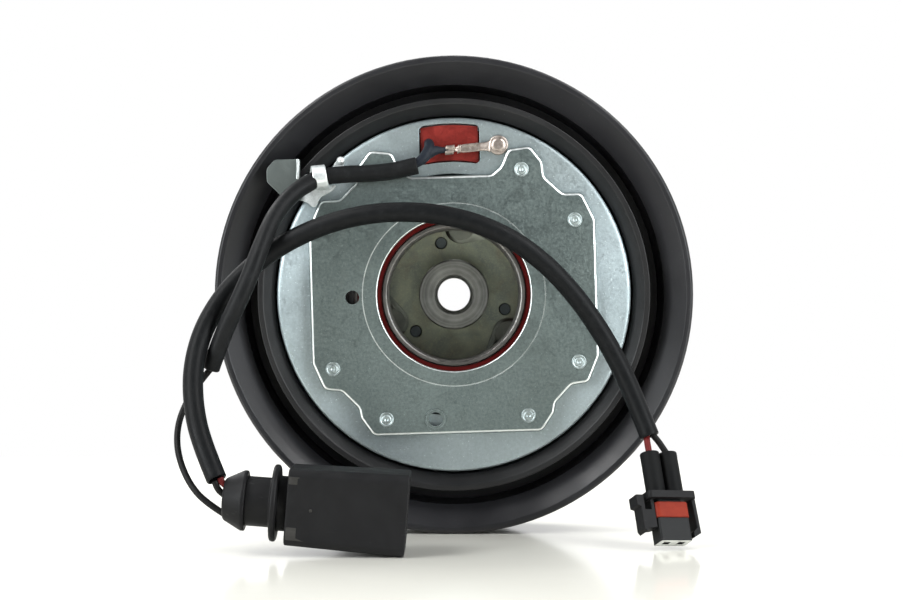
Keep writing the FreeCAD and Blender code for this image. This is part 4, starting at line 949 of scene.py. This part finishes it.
def terminal_sheet():
    """The strip, with a press mark sunk in its front. Each row is along, half width and depth."""
    rows = [
        (1.9, 1.75, 1.55), (2.6, 1.35, 1.45), (3.4, 1.15, 1.2), (4.6, 1.05, 0.95),
        (5.2, 1.1, 0.85), (6.0, 1.12, 0.85), (7.0, 1.12, 0.85), (8.0, 1.12, 0.85),
        (9.2, 1.1, 0.85), (9.9, 0.95, 0.9), (10.4, 0.65, 1.0), (12.0, 0.6, 1.1),
    ]
    rings = []
    for along, half, depth in rows:
        mark = 0.16 if 5.5 < along < 8.5 else 0
        ring = []
        for up, shift in (
            (half, 0.12),
            (half, -0.18),
            (half * 0.86, -0.3),
            (half * 0.5, -0.3 + mark),
            (0, -0.3 + mark),
            (-half * 0.5, -0.3 + mark),
            (-half * 0.86, -0.3),
            (-half, -0.18),
            (-half, 0.12),
            (-half * 0.86, 0.25),
            (0, 0.25),
            (half * 0.86, 0.25),
        ):
            ring.append(Vector(terminal_place(along, depth + shift, up)) * MM)
        rings.append(ring)
    return rings_mesh("terminal_strip", rings)


def barrel_sheet(start, end, radius, bow):
    """A crimped barrel: two curled wings that meet in a groove along its front."""
    rings = []
    outline = []
    for angle in turn_angles(36):
        seam = math.exp(-(((angle - math.pi / 2) / 0.22) ** 2))
        outline.append((angle, 1 - 0.42 * seam))
    for share, size in ((0, 0.8), (0, 0.96), (0.06, 1.04), (0.5, 1 + bow), (0.94, 1.04), (1, 0.96), (1, 0.8)):
        along = start + (end - start) * share
        ring = []
        for angle, factor in outline:
            reach = radius * size * factor
            up, out = reach * 1.02 * math.cos(angle), reach * 0.86 * math.sin(angle)
            ring.append(Vector(terminal_place(along, 1.15 - out, up)) * MM)
        rings.append(ring)
    return rings_mesh("terminal_barrel", rings)


PAD_PROFILE = [
    (0, 0.95), (0.9, 0.95), (1.35, 0.98), (1.62, 1.12), (1.78, 1.3), (1.95, 1.32), (2.3, 1.34),
    (2.52, 1.45), (2.6, 1.65), (2.5, 2.25), (0, 2.25),
]
pad_part = turned_shape("terminal_pad", PAD_PROFILE, (PAD_X, 0, PAD_Z))
wings = barrel_sheet(11.6, 13.9, 1.2, 0.03)
collar_part = barrel_sheet(9.9, 10.7, 1.12, 0.0)
terminal = link(
    "ground_terminal_crimped",
    joined("ground_terminal_crimped", [pad_part, terminal_sheet(), wings, collar_part]),
    "coil_side",
    ["ground_terminal"],
)
coat(terminal, "tin")


def limb(name, route, radii):
    """A closed tube of changing thickness along a smooth line."""
    line = centre_line(route, 0.35)
    rings = []
    for index, (centre, (_, side, up)) in enumerate(zip(line, frames(line))):
        share = index / (len(line) - 1) * (len(radii) - 1)
        low = min(int(share), len(radii) - 2)
        radius = radii[low] + (radii[low + 1] - radii[low]) * (share - low)
        ring = []
        for angle in turn_angles(20):
            reach = radius * (1 + 0.05 * noise.noise(centre * 600 + Vector((angle, 0, 0)))) * MM
            ring.append(centre + (side * math.cos(angle) + up * math.sin(angle)) * reach)
        rings.append(ring)
    return rings_mesh(name, rings)


COIL_LEAD_ROUTE = [
    (-10.4, -2.6, 33.6), (-8.6, -2.2, 34.6), (-7.2, -1.2, 36.2),
    (-6.3, 0.2, 38.0), (-6.5, 1.6, 39.3), (-6.6, 3.2, 39.7),
]
GROUND_WIRE_ROUTE = [
    (-8.0, -1.2, 35.9), (-6.2, -0.3, 37.0), (-4.6, 0.3, 37.6),
    (-3.2, 0.8, 37.6), (-1.6, 1.1, 37.7),
]
coil_lead = limb("coil_lead_bend", COIL_LEAD_ROUTE, [1.15, 1.3, 1.45, 1.5, 1.35, 1.2])
coil_lead = link("coil_lead_bend", coil_lead, "coil_side", ["coil_lead_wire"])
coat(coil_lead, "shrink_black")
ground = limb("ground_wire_bend", GROUND_WIRE_ROUTE, [1.2, 1.45, 1.3, 0.85, 0.7])
ground = link("ground_wire_bend", ground, "coil_side", ["ground_wire"])
coat(ground, "shrink_black")

# The large plug's housing: a rounded shell with its socket, a neck and a fin.
PLUG_TILT = math.radians(4.4)
PLUG_X, PLUG_Y, PLUG_Z = -55.6, -36, -49.35
SHELL_REAR = 15.7
SHELL_HALF_DEPTH, SHELL_HALF_HEIGHT = 8.5, 9.2
SOCKET_HALF_DEPTH, SOCKET_HALF_HEIGHT, SOCKET_CORNER = 7.5, 8.2, 1.2


def plug_place(along, back, up):
    """A point of the large plug, given along it, away from the camera and up."""
    x = along * math.cos(PLUG_TILT) + up * math.sin(PLUG_TILT)
    z = up * math.cos(PLUG_TILT) - along * math.sin(PLUG_TILT)
    return Vector((x + PLUG_X, back + PLUG_Y, z + PLUG_Z)) * MM


def flare(along):
    """How much wider each side of the shell is here than at its rear."""
    return (along - SHELL_REAR) * math.tan(math.radians(1.2))


def shell_ring(along, inset, corner):
    spread = flare(along) - inset
    outline = rounded_box(SHELL_HALF_DEPTH + spread, SHELL_HALF_HEIGHT + spread, corner)
    return [plug_place(along, back, up) for back, up in outline]


def socket_ring(along, spread=0.0):
    outline = rounded_box(SOCKET_HALF_DEPTH + spread, SOCKET_HALF_HEIGHT + spread, SOCKET_CORNER + spread)
    return [plug_place(along, back, up) for back, up in outline]


def spun_along_plug(profile, turns=48):
    """A closed shape turned about the plug's own line: profile is (along, radius)."""
    rings = []
    for along, radius in profile:
        offsets = [(radius * math.cos(angle), radius * math.sin(angle)) for angle in turn_angles(turns)]
        rings.append([plug_place(along, back, up) for back, up in offsets])
    return rings_mesh("spun", rings)


shell_rings = [
    shell_ring(15.72, 0.9, 1.5),
    shell_ring(15.72, 0.45, 1.9),
    shell_ring(15.82, 0.16, 2.1),
    shell_ring(16.1, 0.0, 2.2),
    shell_ring(30.0, 0.0, 2.2),
    shell_ring(44.2, 0.0, 2.2),
    shell_ring(44.48, 0.12, 2.1),
    shell_ring(44.58, 0.35, 1.9),
    socket_ring(44.58, 0.3),
    socket_ring(44.45, 0.08),
    socket_ring(44.2),
    socket_ring(22.65),
]
NECK_PROFILE = [
    (5.62, 5.2), (5.62, 5.85), (5.8, 6.0), (11.2, 6.0), (11.65, 6.25), (11.75, 8.9), (12.0, 9.25),
    (12.5, 9.35), (13.0, 9.25), (13.25, 8.9), (13.35, 6.95), (13.8, 6.65), (16.2, 6.65), (16.2, 5.2),
]
shell = link(
    "plug_shell",
    joined("plug_shell", [rings_mesh("shell", shell_rings), spun_along_plug(NECK_PROFILE)]),
    "coil_side",
    ["plug_housing", "plug_shroud"],
)
coat(shell, "plug_black")
weighted(shell)

# Thin raised marks of its mould.


def plug_outline(points):
    """Points given along and across the large plug, turned to where it lies."""
    places = [plug_place(along, 0, up) / MM for along, up in points]
    return [(place.x, place.z) for place in places]


def raised(name, points, height, corner):
    """A thin raised patch on the side of the plug that faces the camera."""
    outline = plug_outline(rounded(points, corner))
    front = PLUG_Y - SHELL_HALF_DEPTH

    def lean(x, z):
        return flare((x - PLUG_X) * math.cos(PLUG_TILT) - (z - PLUG_Z) * math.sin(PLUG_TILT))

    return baked(name, slab(name, outline, front - height, front + 0.4, lean), 0.05, 2)


GATE_PROFILE = [(0, 0.1), (0.3, 0.08), (0.42, 0.3), (0.42, 0.9), (0, 0.9)]
marks = [
    raised("line", [(17.5, 0.9), (44.0, 0.9), (44.0, 1.12), (17.5, 1.12)], 0.07, 0.05),
    raised("panel", [(16.1, -7.6), (25.2, -7.9), (25.2, -4.6), (16.1, -4.6)], 0.12, 0.3),
    raised("shoulder", [(16.0, 5.6), (18.6, 5.6), (18.6, 7.4), (16.0, 7.4)], 0.1, 0.2),
    turned_shape("gate", GATE_PROFILE, (-34.0, -44.9, -51.3), 16),
]
plug_marks = link("plug_mould_marks", joined("plug_mould_marks", marks), "coil_side")
coat(plug_marks, "mark_black")

# ------------------------------ leaf springs, cut into lengths


# The share of a spring left whole at each end, and the number of lengths that the cuts make of the rest.
STIFF_END = 0.32
SPRING_CUTS = 8


def islands(work):
    """The numbers of the points of each separate solid of a mesh."""
    left = set(range(len(work.verts)))
    while left:
        front, island = [min(left)], set()
        left.discard(front[0])
        while front:
            vertex = work.verts[front.pop()]
            island.add(vertex.index)
            for edge in vertex.link_edges:
                other = edge.other_vert(vertex).index
                if other in left:
                    left.discard(other)
                    front.append(other)
        yield island


def leaf_spring(name, island):
    """One flat spring, cut across into lengths between its ends, with its edges rounded."""
    work = cleaned("leaf_springs")
    others = [vertex for vertex in work.verts if vertex.index not in island]
    bmesh.ops.delete(work, geom=others, context="VERTS")
    places = [vertex.co.copy() for vertex in work.verts]
    outer = max(places, key=lambda place: math.hypot(place.x, place.z))
    inner = max(places, key=lambda place: (place - outer).length)
    inner.y = outer.y
    start, end = inner.lerp(outer, STIFF_END), outer.lerp(inner, STIFF_END)
    for cut in range(SPRING_CUTS + 1):
        bmesh.ops.bisect_plane(
            work,
            geom=[*work.verts, *work.edges, *work.faces],
            plane_co=start.lerp(end, cut / SPRING_CUTS),
            plane_no=(end - start).normalized(),
        )
    mesh = bpy.data.meshes.new(name)
    work.to_mesh(mesh)
    work.free()
    piece = bpy.data.objects.new(name, baked(name, mesh, 0.1))
    bpy.context.scene.collection.objects.link(piece)
    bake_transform(piece)
    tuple(start)
    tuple(end)
    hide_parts("leaf_springs")
    coat(piece, "spring_steel")


springs = cleaned("leaf_springs")
springs.verts.ensure_lookup_table()
for count, island in enumerate(islands(springs)):
    leaf_spring(f"leaf_spring_{count + 1}", island)
springs.free()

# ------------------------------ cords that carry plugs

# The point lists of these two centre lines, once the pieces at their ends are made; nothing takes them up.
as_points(cord_facts(lead_wire_line, 2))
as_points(cord_facts(harness_line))

# ------------------------------ light and floor

def studio():
    """A white room, dim behind the camera, though the camera itself sees it plain white."""
    world = bpy.data.worlds.new("studio")
    bpy.context.scene.world = world
    world.use_nodes = True
    nodes, links = world.node_tree.nodes, world.node_tree.links
    backdrop = nodes["Background"]
    backdrop.inputs["Color"].default_value = (1, 1, 1, 1)
    direction = nodes.new("ShaderNodeSeparateXYZ")
    links.new(nodes.new("ShaderNodeTexCoord").outputs["Generated"], direction.inputs[0])
    depth = nodes.new("ShaderNodeMapRange")
    depth.interpolation_type = "SMOOTHSTEP"
    for key, value in {"From Min": -0.1, "From Max": 0.45, "To Min": 0.26, "To Max": 1.0}.items():
        depth.inputs[key].default_value = value
    links.new(direction.outputs["Y"], depth.inputs["Value"])
    sight = nodes.new("ShaderNodeMix")
    links.new(nodes.new("ShaderNodeLightPath").outputs["Is Camera Ray"], sight.inputs[0])
    links.new(depth.outputs[0], sight.inputs[2])
    sight.inputs[3].default_value = 1.0
    links.new(sight.outputs[0], backdrop.inputs["Strength"])


def softbox(name, place, target, width, height, power, color=(1, 1, 1)):
    """A rectangular light at a place in metres, turned to its target."""
    data = bpy.data.lights.new(name, "AREA")
    data.shape = "RECTANGLE"
    data.size = width
    data.size_y = height
    data.energy = power
    data.color = color
    light = bpy.data.objects.new(name, data)
    light.location = place
    aim = Vector(target) - Vector(place)
    light.rotation_euler = aim.to_track_quat("-Z", "Y").to_euler()
    light.visible_camera = False
    bpy.context.scene.collection.objects.link(light)


studio()
softbox("left", (-0.6, -0.42, 0.18), (0, 0, 0), 0.3, 0.4, 4.4, (0.94, 0.98, 1))
softbox("right", (0.6, -0.42, 0.16), (0, 0, 0), 0.3, 0.4, 4.4, (0.94, 0.98, 1))
softbox("table", (0, 0.5, 0.6), (0, 0.0, -0.06), 1.2, 0.5, 10)
softbox("above_left", (-0.4, -0.22, 0.48), (-0.08, -0.15, -0.06), 0.3, 0.25, 2.6)
softbox("above_right", (0.4, -0.22, 0.48), (0.08, -0.15, -0.06), 0.3, 0.25, 2.2)


def floor():
    """A pale, slightly glossy table under everything."""
    side, near, far = 0.7, -0.6, 0.235
    mesh = bpy.data.meshes.new("table")
    corners = [(-side, near, FLOOR), (side, near, FLOOR), (side, far, FLOOR), (-side, far, FLOOR)]
    mesh.from_pydata(corners, [], [(0, 1, 2, 3)])
    table = bpy.data.objects.new("table", mesh)
    bpy.context.scene.collection.objects.link(table)
    top = Finish("table_top", (0.74, 0.73, 0.67), 0.12, IOR=1.5)
    top.rough(top.span(top.noise(40, 3), 0.3, 0.7, 0.1, 0.15))
    table.data.materials.append(top.material)


floor()
bpy.context.scene.view_settings.view_transform = "Standard"
